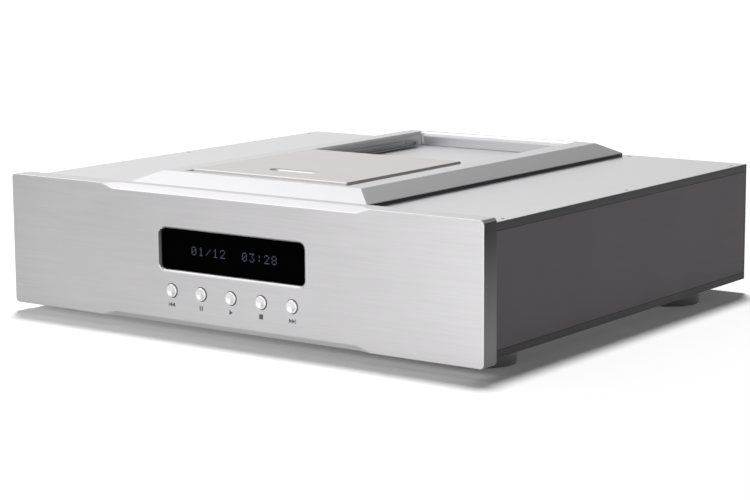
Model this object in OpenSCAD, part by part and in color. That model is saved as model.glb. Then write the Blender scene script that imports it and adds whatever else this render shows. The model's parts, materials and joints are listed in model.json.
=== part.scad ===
// Top-loading disc transport with a sliding lid.
// Modules are drawn with Y = 0 on the front face of the front panel and Z = 0 on the floor.
// placed() then moves each one so that the origin is the middle of the footprint.

/* [Case] */
// Width of the front panel
panel_w = 435; // [410:1:480]
// Thickness of the front panel
panel_t = 16.5; // [12:0.5:22]
// How far the front panel stands above the top plate
panel_rise = 3.5; // [2:0.1:6]
// How far the front panel hangs below the bottom plate
panel_skirt = 4.2; // [2:0.1:8]
// How far the front panel stands past each side panel
panel_over = 1.5; // [0.5:0.1:4]
// Corner radius of the front panel
panel_corner_r = 3; // [1:0.5:6]
// Height of the case from bottom plate to top plate
body_h = 93; // [86:0.5:110]
// Thickness of the top plate
top_t = 6; // [5:0.5:9]
// Thickness of the bottom plate
bottom_t = 5.5; // [5:0.5:9]
// Thickness of a side panel
side_t = 10; // [8:0.5:14]
// Thickness of the rear panel
rear_t = 3; // [2:0.5:5]
// Strip of top plate left behind the surround
rear_ledge = 13.5; // [8:0.5:40]

/* [Front notches] */
// Width of the notch along the panel edge, without its end facets
notch_w = 225.6; // [180:0.2:260]
// Length of one end facet
notch_run = 11.9; // [6:0.1:20]
// How far the notch comes down the front face
notch_drop = 3.9; // [2:0.1:6]
// How far the upper notch goes back over the top face
notch_depth = 8.6; // [5:0.1:12]
// How far the lower notch goes back under the bottom face
notch_under = 2.6; // [1:0.1:10]

/* [Display and buttons] */
// Width of the display opening
window_w = 133.4; // [110:0.2:140]
// Height of the display opening
window_h = 30.5; // [26:0.1:36]
// Corner radius of the display opening
window_r = 4.5; // [2:0.5:8]
// Height of the display's middle above the panel's lower edge
window_up = 56.1; // [53:0.1:62]
// Depth of the panel lip in front of the display window
window_lip = 4; // [2:0.5:6]
// Thickness of the display window
window_t = 3; // [2:0.5:4]
// Width of the seat round the display window
window_seat = 5; // [3:0.5:6]
// Diameter of a button
button_d = 9.8; // [8:0.1:14]
// Gap between a button and its hole
button_gap = 0.3; // [0.2:0.05:0.6]
// Spacing of the buttons
button_pitch = 28; // [22:0.5:34]
// Height of the buttons above the panel's lower edge
button_up = 25.4; // [20:0.1:28]
// How far a button stands out of the panel
button_out = 1.2; // [0.8:0.1:3]
// Travel of a button
button_travel = 0.8; // [0.5:0.1:1.5]

/* [Lid and surround] */
// Width of the sliding lid
lid_w = 144.4; // [140:0.2:170]
// Length of the sliding lid
lid_l = 146.3; // [140:0.1:170]
// Thickness of the sliding lid
lid_t = 6.5; // [5.5:0.1:7]
// How far the lid stands above the surround
lid_rise = 1.4; // [0.5:0.1:3]
// Gap between the closed lid and the surround
lid_gap = 2; // [1:0.1:3]
// How far the open lid clears its closed place
lid_clear = 3.7; // [1:0.1:8]
// Space left behind the open lid
stop_gap = 8.9; // [6:0.1:15]
// Height of the surround above the top plate
surround_h = 11.3; // [10.5:0.1:16]
// Height of the surround's upright outer edge
edge_h = 3.2; // [2:0.1:5]
// Width of the flat rim beside the opening
rim_side = 17.85; // [14:0.05:26]
// Width of the flat rim in front of the opening
rim_front = 8.3; // [6:0.1:16]
// Width of the flat rim behind the opening
rim_rear = 9.1; // [6:0.1:16]
// Run of the side slopes
slope_side = 18.2; // [10:0.1:24]
// Run of the front slope
slope_front = 17.9; // [10:0.1:24]
// Run of the rear slope
slope_rear = 12.5; // [8:0.1:24]
// Bevel round the top of the opening
rim_bevel = 2; // [0.5:0.1:3]
// Length of the finger slot in the lid
slot_l = 42; // [30:0.5:60]
// Width of the finger slot
slot_w = 9; // [6:0.5:14]
// Depth of the finger slot
slot_depth = 4.6; // [4.2:0.1:5]
// Distance from the lid's front edge to the middle of the finger slot
slot_back = 29.6; // [20:0.1:50]
// Thickness of a guide rail
rail_t = 5; // [4.6:0.1:6]
// Depth of the groove in a guide rail
groove_depth = 2.2; // [1.6:0.1:2.4]
// Thickness of the runner's tongue
tongue_t = 1.6; // [1.2:0.1:2]
// Sliding gap between runner and rail
slide_gap = 0.3; // [0.2:0.05:0.5]

/* [Disc drive] */
// Diameter of the disc that it plays
disc_d = 120; // [110:1:124]
// Room round the disc
disc_room = 4; // [2:0.5:5]
// Depth of the well floor under the top plate
well_drop = 10.2; // [8:0.1:12]
// Thickness of the well's wall
well_wall = 3; // [2:0.5:4]
// Thickness of the well's floor
well_floor_t = 3; // [2.4:0.1:4]
// Height of the disc seat above the well floor
seat_rise = 5; // [4:0.1:7]
// Diameter of the turntable
turntable_d = 32; // [28:1:33]
// Diameter of the turntable's centring cone
cone_d = 14.8; // [14:0.1:15]
// Diameter of the puck
puck_d = 36; // [30:1:44]
// Height of the puck
puck_h = 9; // [7:0.5:10]
// Diameter of the spindle shaft
shaft_d = 3; // [2:0.5:4]
// Gap between the well floor and the mechanism deck
deck_gap = 12; // [11.4:0.1:15]
// Thickness of the mechanism deck
deck_t = 3; // [2:0.5:4]
// Thickness of a deck grommet
grommet_t = 3; // [2:0.5:5]
// Diameter of the spindle motor
motor_d = 28; // [22:1:34]
// Height of the spindle motor
motor_h = 18; // [14:1:24]
// Smallest radius that the lens reads
lens_in = 25; // [25:0.5:28]
// Travel of the laser sled
sled_travel = 33; // [28:0.5:34]
// Length of the laser sled
sled_l = 32; // [28:0.5:40]
// Distance of a guide rod from the middle
rod_x = 19; // [17:0.5:21]
// Diameter of a guide rod
rod_d = 3; // [2:0.5:3]

/* [Sled drive] */
// Tooth size, pitch diameter divided by tooth count
gear_module = 0.8; // [0.7:0.05:0.9]
// Teeth of the pinion that drives the rack
rack_pinion_teeth = 12; // [12:1:14]
// Teeth of the large wheel
wheel_teeth = 36; // [32:1:38]
// Teeth of the motor pinion
motor_pinion_teeth = 10; // [10:1:12]
// Slack between teeth
backlash = 0.2; // [0.1:0.05:0.3]
// Diameter of the sled motor
sled_motor_d = 20; // [14:1:22]
// Height of the sled motor
sled_motor_h = 16; // [12:1:24]

/* [Feet] */
// Diameter of a foot
foot_d = 50; // [40:1:60]
// Height of the case above the floor
foot_h = 11.2; // [9:0.1:20]
// Thickness of a foot pad
pad_t = 2; // [1:0.5:3]
// Distance of a foot's middle from the case side
foot_in = 32; // [31:0.5:60]
// Distance of the front feet from the front face
foot_front = 49; // [48:0.5:80]
// Distance of the rear feet from the rear face
foot_rear = 69; // [40:0.5:90]

/* [Power and boards] */
// Diameter of the transformer
transformer_d = 96; // [80:1:104]
// Height of the transformer
transformer_h = 42; // [30:1:55]
// Thickness of a circuit board
board_t = 1.6; // [1:0.1:2.4]
// Height of the boards above the bottom plate
board_lift = 8; // [6:0.5:12]
// Diameter of a supply capacitor
capacitor_d = 25; // [18:1:28]
// Height of a supply capacitor
capacitor_h = 40; // [25:1:50]

/* [Rear sockets] */
// Height of the sockets above the floor
socket_z = 52; // [48:1:60]
// Thickness of a socket flange
flange_t = 2.5; // [2:0.1:3.5]
// Place of the power inlet across the case
inlet_x = -150; // [-160:1:-140]
// Place of the power switch across the case
switch_x = -104; // [-108:1:-100]
// Place of the balanced socket across the case
xlr_x = 66; // [60:1:72]
// Place of the coaxial jack across the case
rca_x = 100; // [96:1:104]
// Place of the bayonet jack across the case
bnc_x = 130; // [126:1:134]
// Place of the data socket across the case
data_x = 162; // [158:1:166]
// Diameter of the coaxial jack's barrel
rca_d = 8.3; // [8:0.1:8.6]
// Length of the coaxial jack's barrel
rca_l = 9; // [7:0.5:10]
// Diameter of the bayonet jack's barrel
bnc_d = 9.7; // [9.5:0.1:9.8]
// Length of the bayonet jack's barrel
bnc_l = 11.5; // [10.5:0.5:14]
// Tilt of the rocker each way
rocker_tilt = 10; // [6:1:11]

/* [Hidden] */
$fn = 96;

// Small clearances and screw sizes
screw_r = 1.5;
screw_fit = 0.1;
screw_end = 0.5;
seat_fit = 0.2;
shaft_fit = 0.05;
press_fit = 0.02;
csk_head_r = 3;
csk_head_h = 1.7;
cap_head_r = 2.75;
cap_head_h = 2.6;
hex_r = 1.1;
hex_depth = 1.2;
overcut = 1;
case_screw_l = 12;

// Case planes
body_w = panel_w - 2 * panel_over;
half_w = body_w / 2;
in_x = half_w - side_t;
z_base = foot_h + bottom_t;
z_top = foot_h + body_h;
z_roof = z_top - top_t;
panel_z = foot_h - panel_skirt;
panel_top = z_top + panel_rise;
panel_h = panel_top - panel_z;
window_z = panel_z + window_up;
button_z = panel_z + button_up;

// Lid, opening and surround planes
lid_travel = lid_l + lid_clear;
open_half = lid_w / 2 + lid_gap;
open_y0 = panel_t + slope_front + rim_front;
lid_y0 = open_y0 + lid_gap;
lid_y1 = lid_y0 + lid_l;
open_y1 = lid_y1 + lid_travel + stop_gap;
surround_y1 = open_y1 + rim_rear + slope_rear;
surround_half = open_half + rim_side + slope_side;
surround_top = z_top + surround_h;
lid_top = surround_top + lid_rise;
lid_under = lid_top - lid_t;
case_d = surround_y1 + rear_ledge;
rear_y = case_d - rear_t;
rear_reach = max(bnc_l, rca_l);
mid_y = (case_d + rear_reach - button_out) / 2;

// Case screw places
edge_x = half_w - side_t / 2;
edge_inset = 17;
edge_ys = [panel_t + edge_inset, (panel_t + case_d) / 2, case_d - edge_inset];
rear_screw_zs = [z_base + 16, z_roof - 16];
block_x = 113;
block_w = 16;
block_d = 12;
block_h = 18;
block_screw_y = rear_y - 4;
block_screw_z = z_roof - 13;

// Corner brackets behind the front panel
bracket_t = 4;
bracket_leg = 24;
bracket_h = 55;
bracket_z = (z_base + z_roof) / 2;
bracket_screw_in = 8;
bracket_screw_rise = 13;
bracket_screw_l = 9;

// Front board stack
button_flange_t = 1.5;
button_flange_over = 1.4;
button_stem = 1;
button_stem_r = 2;
button_edge = 0.5;
button_back = panel_t + button_gap + button_flange_t + button_stem;
tact_gap = 0.1;
tact_nib = 0.9;
tact_body = 3.5;
tact_side = 6;
tact_nib_r = 1.7;
tact_y = button_back + button_travel + tact_gap;
board_y = tact_y + tact_nib + tact_body;
front_post_l = board_y - panel_t;
front_board_half = window_w / 2 + 19;
front_board_down = 10;
front_board_up = 21;
front_post_x = front_board_half - 6;
front_post_zs = [button_z - 4, window_z + 15];
post_r = 3;
post_bore = 6;
stud_l = 4;

// Guide rails and runners
rail_z0 = z_top + 0.8;
rail_z1 = lid_under - slide_gap;
rail_in = open_half - rail_t;
rail_mid = (rail_z0 + rail_z1) / 2;
groove_half = tongue_t / 2 + slide_gap;
rail_y0 = open_y0 + 1;
rail_y1 = open_y1 - 14;
groove_end = 3;
rail_head_r = 1.9;
rail_head_h = 1.1;
rail_screw_r = 1;
rail_screw_l = 5;
rail_screw_ys = [rail_y0 + 18, (rail_y0 + rail_y1) / 2, rail_y1 - 18];
runner_y0 = rail_y0 + groove_end + 2;
runner_y1 = runner_y0 + rail_y1 - rail_y0 - 2 * groove_end - lid_travel - 6;
runner_web = 3;
runner_flange = 9;
runner_flange_t = 2;
runner_x1 = rail_in - slide_gap;
runner_x0 = runner_x1 - runner_flange;
runner_tip = rail_in + groove_depth - slide_gap;
runner_screw_x = runner_x0 + 2.6;
runner_screw_r = 1;
runner_screw_l = 4.5;
runner_head_r = 1.9;
runner_head_h = 1.4;
runner_screw_ys = [runner_y0 + 10, runner_y1 - 10];

// Surround screws, driven up through the top plate
surround_screw_x = open_half + rim_side / 2;
surround_screw_ys = [open_y0 + 16, (open_y0 + open_y1) / 2, open_y1 - 16];
surround_screw_l = top_t + 6;

// Disc well and mechanism levels
disc_y = (lid_y0 + lid_y1) / 2;
well_r = disc_d / 2 + disc_room;
well_floor = z_roof - well_drop;
well_under = well_floor - well_floor_t;
well_flange = 11;
well_flange_t = 3;
well_screw_r = well_r + well_flange - 4.5;
well_screw_l = well_flange_t + 3.5;
deck_top = well_under - deck_gap;
deck_under = deck_top - deck_t;
seat_z = well_floor + seat_rise;
boss_r = 4.5;
boss_spots = [[-46, -38], [46, -38], [-50, 33], [50, 33]];
deck_screw_l = deck_t + grommet_t + 7;
grommet_r = 5;

// Spindle
shaft_r = shaft_d / 2;
motor_boss_r = shaft_r + 2.3;
motor_boss_h = 1;
motor_floor = 4;
hub_r = 5;
hub_drop = 9;
turntable_t = 3;
cone_h = 2.2;
cone_taper = 0.8;
puck_fit = 0.3;
puck_waist = 1.5;
hub_hole_r = turntable_d / 2 + 2;

// Laser sled, rods and lens
sled_y0 = disc_y + 12.6;
sled_y1 = sled_y0 + sled_l;
sled_z0 = deck_top + 5.3;
sled_z1 = well_under - 0.8;
sled_half = rod_x + 4;
rod_r = rod_d / 2;
rod_z = (sled_z0 + sled_z1) / 2;
bracket_block_w = 5;
bracket_block_d = 5;
near_block_y = disc_y + 6;
far_block_y = sled_y1 + sled_travel + 1.4;
lens_y = disc_y + lens_in;
holder_w = 12;
holder_gap = 0.5;
tower_w = holder_w + 2 * holder_gap + 2;
tower_top = seat_z - 3.4;
holder_z0 = tower_top - 3.6;
holder_z1 = tower_top + 0.8;
pocket_z = tower_top - 4.4;
lens_r = 2.5;
lens_h = 2;
lens_dome = 4.5;
laser_slot_half = tower_w / 2 + 1.5;
laser_slot_end = lens_y + sled_travel + tower_w / 2 + 1;
laser_slot_top = tower_top + 1.6;

// Rack and gears
pressure = 20;
tooth_add = gear_module * 0.55;
tooth_ded = gear_module;
tooth_steps = 4;
rack_pitch = PI * gear_module;
mesh_gap = 0.05;
rack_root_x = sled_half + 1;
rack_line_x = rack_root_x + tooth_ded;
pinion_r = gear_module * rack_pinion_teeth / 2;
wheel_r = gear_module * wheel_teeth / 2;
motor_pinion_r = gear_module * motor_pinion_teeth / 2;
gear_x = rack_line_x + pinion_r + mesh_gap;
gear_y = sled_y0 + sled_travel + 2.4;
rack_before = ceil((sled_travel + 5) / rack_pitch);
rack_after = 2;
rack_z0 = sled_z0 + 0.9;
rack_z1 = sled_z1 - 0.4;
wheel_z0 = deck_top + 1.5;
wheel_z1 = deck_top + 4.5;
gear_post_r = 1.5;
gear_shoulder_r = 3;
gear_shoulder_h = 1.2;
sled_motor_x = gear_x + wheel_r + motor_pinion_r + mesh_gap;
motor_shaft_r = 1;
motor_collar_r = 3;

// Deck outline
deck_x0 = -59;
deck_x1 = max(59, sled_motor_x + sled_motor_d / 2 + 4);
deck_y0 = disc_y - 47;
deck_y1 = far_block_y + bracket_block_d + 4;

// Boards and power supply places
board_z = z_base + board_lift;
main_w = 134;
main_l = 130;
main_x0 = in_x - 12 - main_w;
main_y0 = rear_y - 14 - main_l;
power_w = 118;
power_l = 125;
power_x0 = -(in_x - 12);
power_y0 = panel_t + 45;
post_in = 6;
chip_w = 14;
chip_h = 1.6;
chip_x = 22;
chip_step = 34;
clock_w = 20;
clock_l = 13;
clock_h = 8;
clock_x = 30;
clock_step = 40;
clock_rear = 34;
header_w = 30;
header_l = 6;
header_h = 9;
header_x = 24;
header_step = 52;
header_y = 14;
capacitor_r = capacitor_d / 2;
capacitor_step = 31;
transformer_r = transformer_d / 2;
transformer_x = -(in_x - 28 - transformer_r);
transformer_y = rear_y - 46 - transformer_r;
transformer_bore = 9;
clamp_r = 30;
clamp_t = 2;
clamp_bolt_r = 2.5;
clamp_nut_r = 5;
clamp_nut_h = 4;

// Feet
pad_r0 = 12;
pad_r1 = foot_d / 2 - 3;
foot_bore_r = 8;
foot_shelf = 5;
foot_screw_r = 2;
foot_head_r = 3.6;
foot_head_h = 2.6;
foot_spots = [for (side = [-1, 1], y = [foot_front, case_d - foot_rear]) [side * (half_w - foot_in), y]];

// Rear sockets
inlet_w = 28;
inlet_h = 21;
inlet_wall = 2;
inlet_deep = 24;
inlet_ear = 20;
inlet_flange_w = 50;
inlet_flange_h = 25;
xlr_r = 11.8;
xlr_wall = 2;
xlr_deep = 14;
xlr_flange_w = 26;
xlr_flange_h = 31;
xlr_screw = [9.5, 12];
xlr_pin_circle = 5;
socket_screw_l = 8;
nut_r = 7;
nut_t = 2;
jack_tail = 12;
data_w = 15.6;
data_h = 6.8;
data_wall = 0.6;
data_out = 1;
data_deep = 11;
switch_w = 13.4;
switch_h = 19.4;
switch_wall = 0.6;
switch_bezel = 1.8;
switch_bezel_t = 1.5;
switch_deep = 14;
rocker_in = 1.5;
rocker_half_w = 5.5;
rocker_half_h = 8;
rocker_pin_r = 1.2;
rocker_pin_reach = 0.45;

// Building blocks

module placed() {
  translate([0, -mid_y, 0]) children();
}

module along_y(y0, y1) {
  translate([0, y1, 0]) rotate([90, 0, 0]) linear_extrude(y1 - y0) children();
}

module along_x(x0, x1) {
  translate([x0, 0, 0]) rotate([90, 0, 90]) linear_extrude(x1 - x0) children();
}

module box(x0, x1, y0, y1, z0, z1) {
  translate([x0, y0, z0]) cube([x1 - x0, y1 - y0, z1 - z0]);
}

module bar_x(y, z, r, x0, x1) {
  translate([x0, y, z]) rotate([0, 90, 0]) cylinder(r = r, h = x1 - x0);
}

module bar_y(x, z, r, y0, y1) {
  translate([x, y0, z]) rotate([-90, 0, 0]) cylinder(r = r, h = y1 - y0);
}

module bar_z(x, y, r, z0, z1) {
  translate([x, y, z0]) cylinder(r = r, h = z1 - z0);
}

module round_rect(w, h, r) {
  square([w - 2 * r, h], center = true);
  square([w, h - 2 * r], center = true);
  for (sx = [-1, 1], sy = [-1, 1]) translate([sx * (w / 2 - r), sy * (h / 2 - r)]) circle(r);
}

module half_space(point, normal) {
  u = normal / norm(normal);
  reach = 2 * panel_w;
  translate(point) rotate([0, acos(u[2]), atan2(u[1], u[0])])
    translate([-reach, -reach, 0]) cube([2 * reach, 2 * reach, reach]);
}

// Countersunk screw, head flush with Z = 0, pointing down
module csk_shape(length, grow) {
  rotate_extrude() polygon([[0, 0], [csk_head_r + grow, 0], [screw_r + grow, -csk_head_h],
    [screw_r + grow, -length], [0, -length]]);
}

module csk_screw(length) {
  difference() {
    csk_shape(length, 0);
    translate([0, 0, -hex_depth]) cylinder(r = hex_r, h = hex_depth + overcut, $fn = 6);
  }
}

module csk_hole(length) {
  csk_shape(length + screw_end, screw_fit);
  cylinder(r = csk_head_r + screw_fit, h = overcut);
}

// Cylinder-head screw, head seated on Z = 0, pointing down
module cap_screw(length, r = screw_r, head_r = cap_head_r, head_h = cap_head_h) {
  difference() {
    rotate_extrude() polygon([[0, head_h], [head_r, head_h], [head_r, 0], [r, 0], [r, -length],
      [0, -length]]);
    translate([0, 0, head_h - hex_depth]) cylinder(r = head_r * 0.45, h = hex_depth + overcut, $fn = 6);
  }
}

module screw_hole(length, r = screw_r) {
  translate([0, 0, -length - screw_end]) cylinder(r = r + screw_fit, h = length + screw_end + overcut);
}

// Spacer that stands on Z = 0 with a stud below and a bore above
module post(length) {
  bore = min(post_bore, length - 1);
  difference() {
    union() {
      cylinder(r = post_r, h = length);
      translate([0, 0, -stud_l]) cylinder(r = screw_r, h = stud_l + overcut);
    }
    translate([0, 0, length - bore]) cylinder(r = screw_r + screw_fit, h = bore + overcut);
  }
}

module stud_hole() {
  screw_hole(stud_l);
}

// Places of the screws and posts

module at_top_screws() {
  for (side = [-1, 1]) {
    for (y = edge_ys) translate([side * edge_x, y, z_top]) children();
    translate([side * block_x, block_screw_y, z_top]) children();
  }
}

module at_bottom_screws() {
  for (side = [-1, 1], y = edge_ys) translate([side * edge_x, y, foot_h]) rotate([180, 0, 0]) children();
}

module at_rear_screws() {
  for (side = [-1, 1]) {
    for (z = rear_screw_zs) translate([side * edge_x, case_d, z]) rotate([-90, 0, 0]) children();
    translate([side * block_x, case_d, block_screw_z]) rotate([-90, 0, 0]) children();
  }
}

module at_panel_bracket_screws() {
  for (side = [-1, 1], dz = [-bracket_screw_rise, bracket_screw_rise])
    translate([side * (in_x - bracket_leg + bracket_screw_in), panel_t + bracket_t, bracket_z + dz])
      rotate([-90, 0, 0]) children();
}

module at_side_bracket_screws() {
  for (side = [-1, 1], dz = [-bracket_screw_rise, bracket_screw_rise])
    translate([side * (in_x - bracket_t), panel_t + bracket_leg - bracket_screw_in, bracket_z + dz])
      rotate([0, -90 * side, 0]) children();
}

module at_surround_screws() {
  for (side = [-1, 1], y = surround_screw_ys)
    translate([side * surround_screw_x, y, z_roof]) rotate([180, 0, 0]) children();
}

module at_well_screws() {
  for (a = [45:90:315])
    translate([well_screw_r * cos(a), disc_y + well_screw_r * sin(a), z_roof - well_flange_t])
      rotate([180, 0, 0]) children();
}

module at_deck_screws() {
  for (p = boss_spots) translate([p[0], disc_y + p[1], deck_under]) rotate([180, 0, 0]) children();
}

module at_front_posts() {
  for (side = [-1, 1], z = front_post_zs)
    translate([side * front_post_x, panel_t, z]) rotate([-90, 0, 0]) children();
}

module at_floor_posts() {
  for (x = [main_x0 + post_in, main_x0 + main_w - post_in],
       y = [main_y0 + post_in, main_y0 + main_l - post_in]) translate([x, y, z_base]) children();
  for (x = [power_x0 + post_in, power_x0 + power_w - post_in],
       y = [power_y0 + post_in, power_y0 + power_l - post_in]) translate([x, y, z_base]) children();
}

module at_rail_screws(side) {
  for (y = rail_screw_ys)
    translate([side * (open_half - rail_t + groove_depth + rail_head_h + seat_fit), y, rail_mid])
      rotate([0, -90 * side, 0]) children();
}

module at_runner_screws(side) {
  for (y = runner_screw_ys)
    translate([side * runner_screw_x, y, lid_under - runner_flange_t]) rotate([180, 0, 0]) children();
}

module at_socket_screws() {
  for (side = [-1, 1]) {
    translate([inlet_x + side * inlet_ear, case_d + flange_t, socket_z]) rotate([-90, 0, 0]) children();
    translate([xlr_x + side * xlr_screw[0], case_d + flange_t, socket_z + side * xlr_screw[1]])
      rotate([-90, 0, 0]) children();
  }
}

// Front

module notch(depth) {
  side_x = notch_w / 2 + notch_run;
  slant = notch_drop * depth;
  intersection() {
    half_space([0, 0, -notch_drop], [0, -notch_drop, depth]);
    half_space([side_x, 0, 0], [-slant, -notch_drop * notch_run, notch_run * depth]);
    half_space([-side_x, 0, 0], [slant, -notch_drop * notch_run, notch_run * depth]);
  }
}

module at_buttons() {
  for (i = [-2:2]) translate([i * button_pitch, 0, button_z]) children();
}

module front_panel() {
  pocket_w = window_w + 2 * window_seat;
  pocket_h = window_h + 2 * window_seat;
  color("silver") placed() difference() {
    translate([0, 0, panel_z + panel_h / 2]) along_y(0, panel_t) round_rect(panel_w, panel_h, panel_corner_r);
    translate([0, 0, panel_top]) notch(notch_depth);
    translate([0, 0, panel_z]) mirror([0, 0, 1]) notch(notch_under);
    translate([0, 0, window_z]) along_y(-overcut, panel_t) round_rect(window_w, window_h, window_r);
    translate([-pocket_w / 2, window_lip, window_z - pocket_h / 2]) cube([pocket_w, panel_t, pocket_h]);
    at_buttons() bar_y(0, 0, button_d / 2 + button_gap, -overcut, panel_t + overcut);
    at_panel_bracket_screws() screw_hole(bracket_screw_l);
    at_front_posts() stud_hole();
  }
}

module display_window() {
  w = window_w + 2 * (window_seat - seat_fit);
  h = window_h + 2 * (window_seat - seat_fit);
  color("black") placed()
    box(-w / 2, w / 2, window_lip, window_lip + window_t, window_z - h / 2, window_z + h / 2);
}

module display_module() {
  glass_w = window_w - 8;
  glass_h = window_h - 3;
  glass_t = 6.5;
  stem_w = window_w - 24;
  stem_h = window_h - 12;
  y0 = window_lip + window_t + seat_fit;
  y1 = y0 + glass_t;
  color("darkslategray") placed() {
    box(-glass_w / 2, glass_w / 2, y0, y1, window_z - glass_h / 2, window_z + glass_h / 2);
    box(-stem_w / 2, stem_w / 2, y1 - overcut, board_y, window_z - stem_h / 2, window_z + stem_h / 2);
  }
}

module front_board() {
  color("darkgreen") placed() difference() {
    box(-front_board_half, front_board_half, board_y, board_y + board_t,
      button_z - front_board_down, window_z + front_board_up);
    at_front_posts()
      bar_z(0, 0, screw_r + screw_fit, front_post_l - overcut, front_post_l + board_t + overcut);
  }
}

module tact_switches() {
  color("dimgray") placed() at_buttons() {
    box(-tact_side / 2, tact_side / 2, board_y - tact_body, board_y, -tact_side / 2, tact_side / 2);
    bar_y(0, 0, tact_nib_r, tact_y, board_y - tact_body + tact_nib / 2);
  }
}

// Round cap with a flange behind the panel, index counts from the middle button
module button(index) {
  r = button_d / 2;
  flange_r = r + button_flange_over;
  flange_y = panel_t + button_gap;
  color("gainsboro") placed() translate([index * button_pitch, 0, button_z]) rotate([-90, 0, 0])
    rotate_extrude() polygon([[0, -button_out], [r - button_edge, -button_out], [r, button_edge - button_out],
      [r, flange_y], [flange_r, flange_y], [flange_r, flange_y + button_flange_t],
      [button_stem_r, flange_y + button_flange_t], [button_stem_r, button_back], [0, button_back]]);
}

module prev_button() { button(-2); }

module pause_button() { button(-1); }

module play_button() { button(0); }

module stop_button() { button(1); }

module next_button() { button(2); }

// Case

module top_plate() {
  color("gainsboro") placed() difference() {
    box(-half_w, half_w, panel_t, case_d, z_roof, z_top);
    bar_z(0, disc_y, well_r, z_roof - overcut, z_top + overcut);
    at_top_screws() csk_hole(case_screw_l);
    at_surround_screws() screw_hole(surround_screw_l);
    at_well_screws() screw_hole(well_screw_l);
  }
}

module bottom_plate() {
  color("dimgray") placed() difference() {
    box(-half_w, half_w, panel_t, case_d, foot_h, z_base);
    at_bottom_screws() csk_hole(case_screw_l);
    at_floor_posts() stud_hole();
    for (p = foot_spots) bar_z(p[0], p[1], foot_screw_r + screw_fit, foot_h - overcut, z_base + overcut);
    bar_z(transformer_x, transformer_y, clamp_bolt_r + screw_fit, foot_h - overcut, z_base + overcut);
  }
}

module side_panel(side) {
  color("gray") placed() difference() {
    translate([side < 0 ? -half_w : in_x, panel_t, z_base]) cube([side_t, rear_y - panel_t, z_roof - z_base]);
    at_top_screws() csk_hole(case_screw_l);
    at_bottom_screws() csk_hole(case_screw_l);
    at_rear_screws() csk_hole(case_screw_l);
    at_side_bracket_screws() screw_hole(bracket_screw_l);
  }
}

module left_side() { side_panel(-1); }

module right_side() { side_panel(1); }

module rear_panel() {
  switch_cut_w = switch_w + 2 * seat_fit;
  switch_cut_h = switch_h + 2 * seat_fit;
  inlet_cut_w = inlet_w + 2 * seat_fit;
  inlet_cut_h = inlet_h + 2 * seat_fit;
  data_cut_w = data_w + 2 * seat_fit;
  data_cut_h = data_h + 2 * seat_fit;
  y0 = rear_y - overcut;
  y1 = case_d + overcut;
  color("gray") placed() difference() {
    box(-half_w, half_w, rear_y, case_d, z_base, z_roof);
    at_rear_screws() csk_hole(case_screw_l);
    translate([inlet_x, 0, socket_z]) along_y(y0, y1) square([inlet_cut_w, inlet_cut_h], center = true);
    translate([switch_x, 0, socket_z]) along_y(y0, y1) square([switch_cut_w, switch_cut_h], center = true);
    translate([data_x, 0, socket_z]) along_y(y0, y1) square([data_cut_w, data_cut_h], center = true);
    bar_y(xlr_x, socket_z, xlr_r + seat_fit, y0, y1);
    bar_y(rca_x, socket_z, rca_d / 2 + seat_fit, y0, y1);
    bar_y(bnc_x, socket_z, bnc_d / 2 + seat_fit, y0, y1);
    at_socket_screws() screw_hole(socket_screw_l);
  }
}

// Angles behind the front panel and blocks behind the rear edge of the top plate
module corner_brackets() {
  z0 = bracket_z - bracket_h / 2;
  z1 = bracket_z + bracket_h / 2;
  color("darkgray") placed() {
    for (side = [-1, 1]) difference() {
      mirror([side < 0 ? 1 : 0, 0, 0]) {
        box(in_x - bracket_t, in_x, panel_t, panel_t + bracket_leg, z0, z1);
        box(in_x - bracket_leg, in_x, panel_t, panel_t + bracket_t, z0, z1);
      }
      at_panel_bracket_screws() screw_hole(bracket_screw_l);
      at_side_bracket_screws() screw_hole(bracket_screw_l);
    }
    for (side = [-1, 1]) difference() {
      translate([side * block_x - block_w / 2, rear_y - block_d, z_roof - block_h])
        cube([block_w, block_d, block_h]);
      at_top_screws() csk_hole(case_screw_l);
      at_rear_screws() csk_hole(case_screw_l);
    }
  }
}

// Lid surround, lid and rails

// Frame-shaped solid between two levels, straight sided below and sloped above
module surround_block() {
  top_half = surround_half - slope_side;
  intersection() {
    along_y(panel_t, surround_y1) polygon([[-surround_half, z_top], [surround_half, z_top],
      [surround_half, z_top + edge_h], [top_half, surround_top], [-top_half, surround_top],
      [-surround_half, z_top + edge_h]]);
    along_x(-surround_half, surround_half) polygon([[panel_t, z_top], [surround_y1, z_top],
      [surround_y1, z_top + edge_h], [surround_y1 - slope_rear, surround_top],
      [panel_t + slope_front, surround_top], [panel_t, z_top + edge_h]]);
  }
}

module surround_opening() {
  low = surround_top - rim_bevel;
  high = surround_top + overcut;
  out = rim_bevel + overcut;
  box(-open_half, open_half, open_y0, open_y1, z_top - overcut, high);
  intersection() {
    along_y(open_y0 - out, open_y1 + out)
      polygon([[-open_half, low], [open_half, low], [open_half + out, high], [-open_half - out, high]]);
    along_x(-open_half - out, open_half + out)
      polygon([[open_y0, low], [open_y1, low], [open_y1 + out, high], [open_y0 - out, high]]);
  }
}

module lid_surround() {
  color("lightgray") placed() difference() {
    surround_block();
    surround_opening();
    at_surround_screws() screw_hole(surround_screw_l);
    for (side = [-1, 1]) at_rail_screws(side) screw_hole(rail_screw_l, rail_screw_r);
  }
}

module rail(side) {
  color("gray") placed() difference() {
    mirror([side < 0 ? 1 : 0, 0, 0]) difference() {
      box(rail_in, open_half, rail_y0, rail_y1, rail_z0, rail_z1);
      box(rail_in - overcut, rail_in + groove_depth, rail_y0 + groove_end, rail_y1 - groove_end,
        rail_mid - groove_half, rail_mid + groove_half);
    }
    at_rail_screws(side) {
      cylinder(r = rail_head_r + screw_fit, h = rail_t);
      screw_hole(rail_screw_l, rail_screw_r);
    }
  }
}

module rail_left() { rail(-1); }

module rail_right() { rail(1); }

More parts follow.
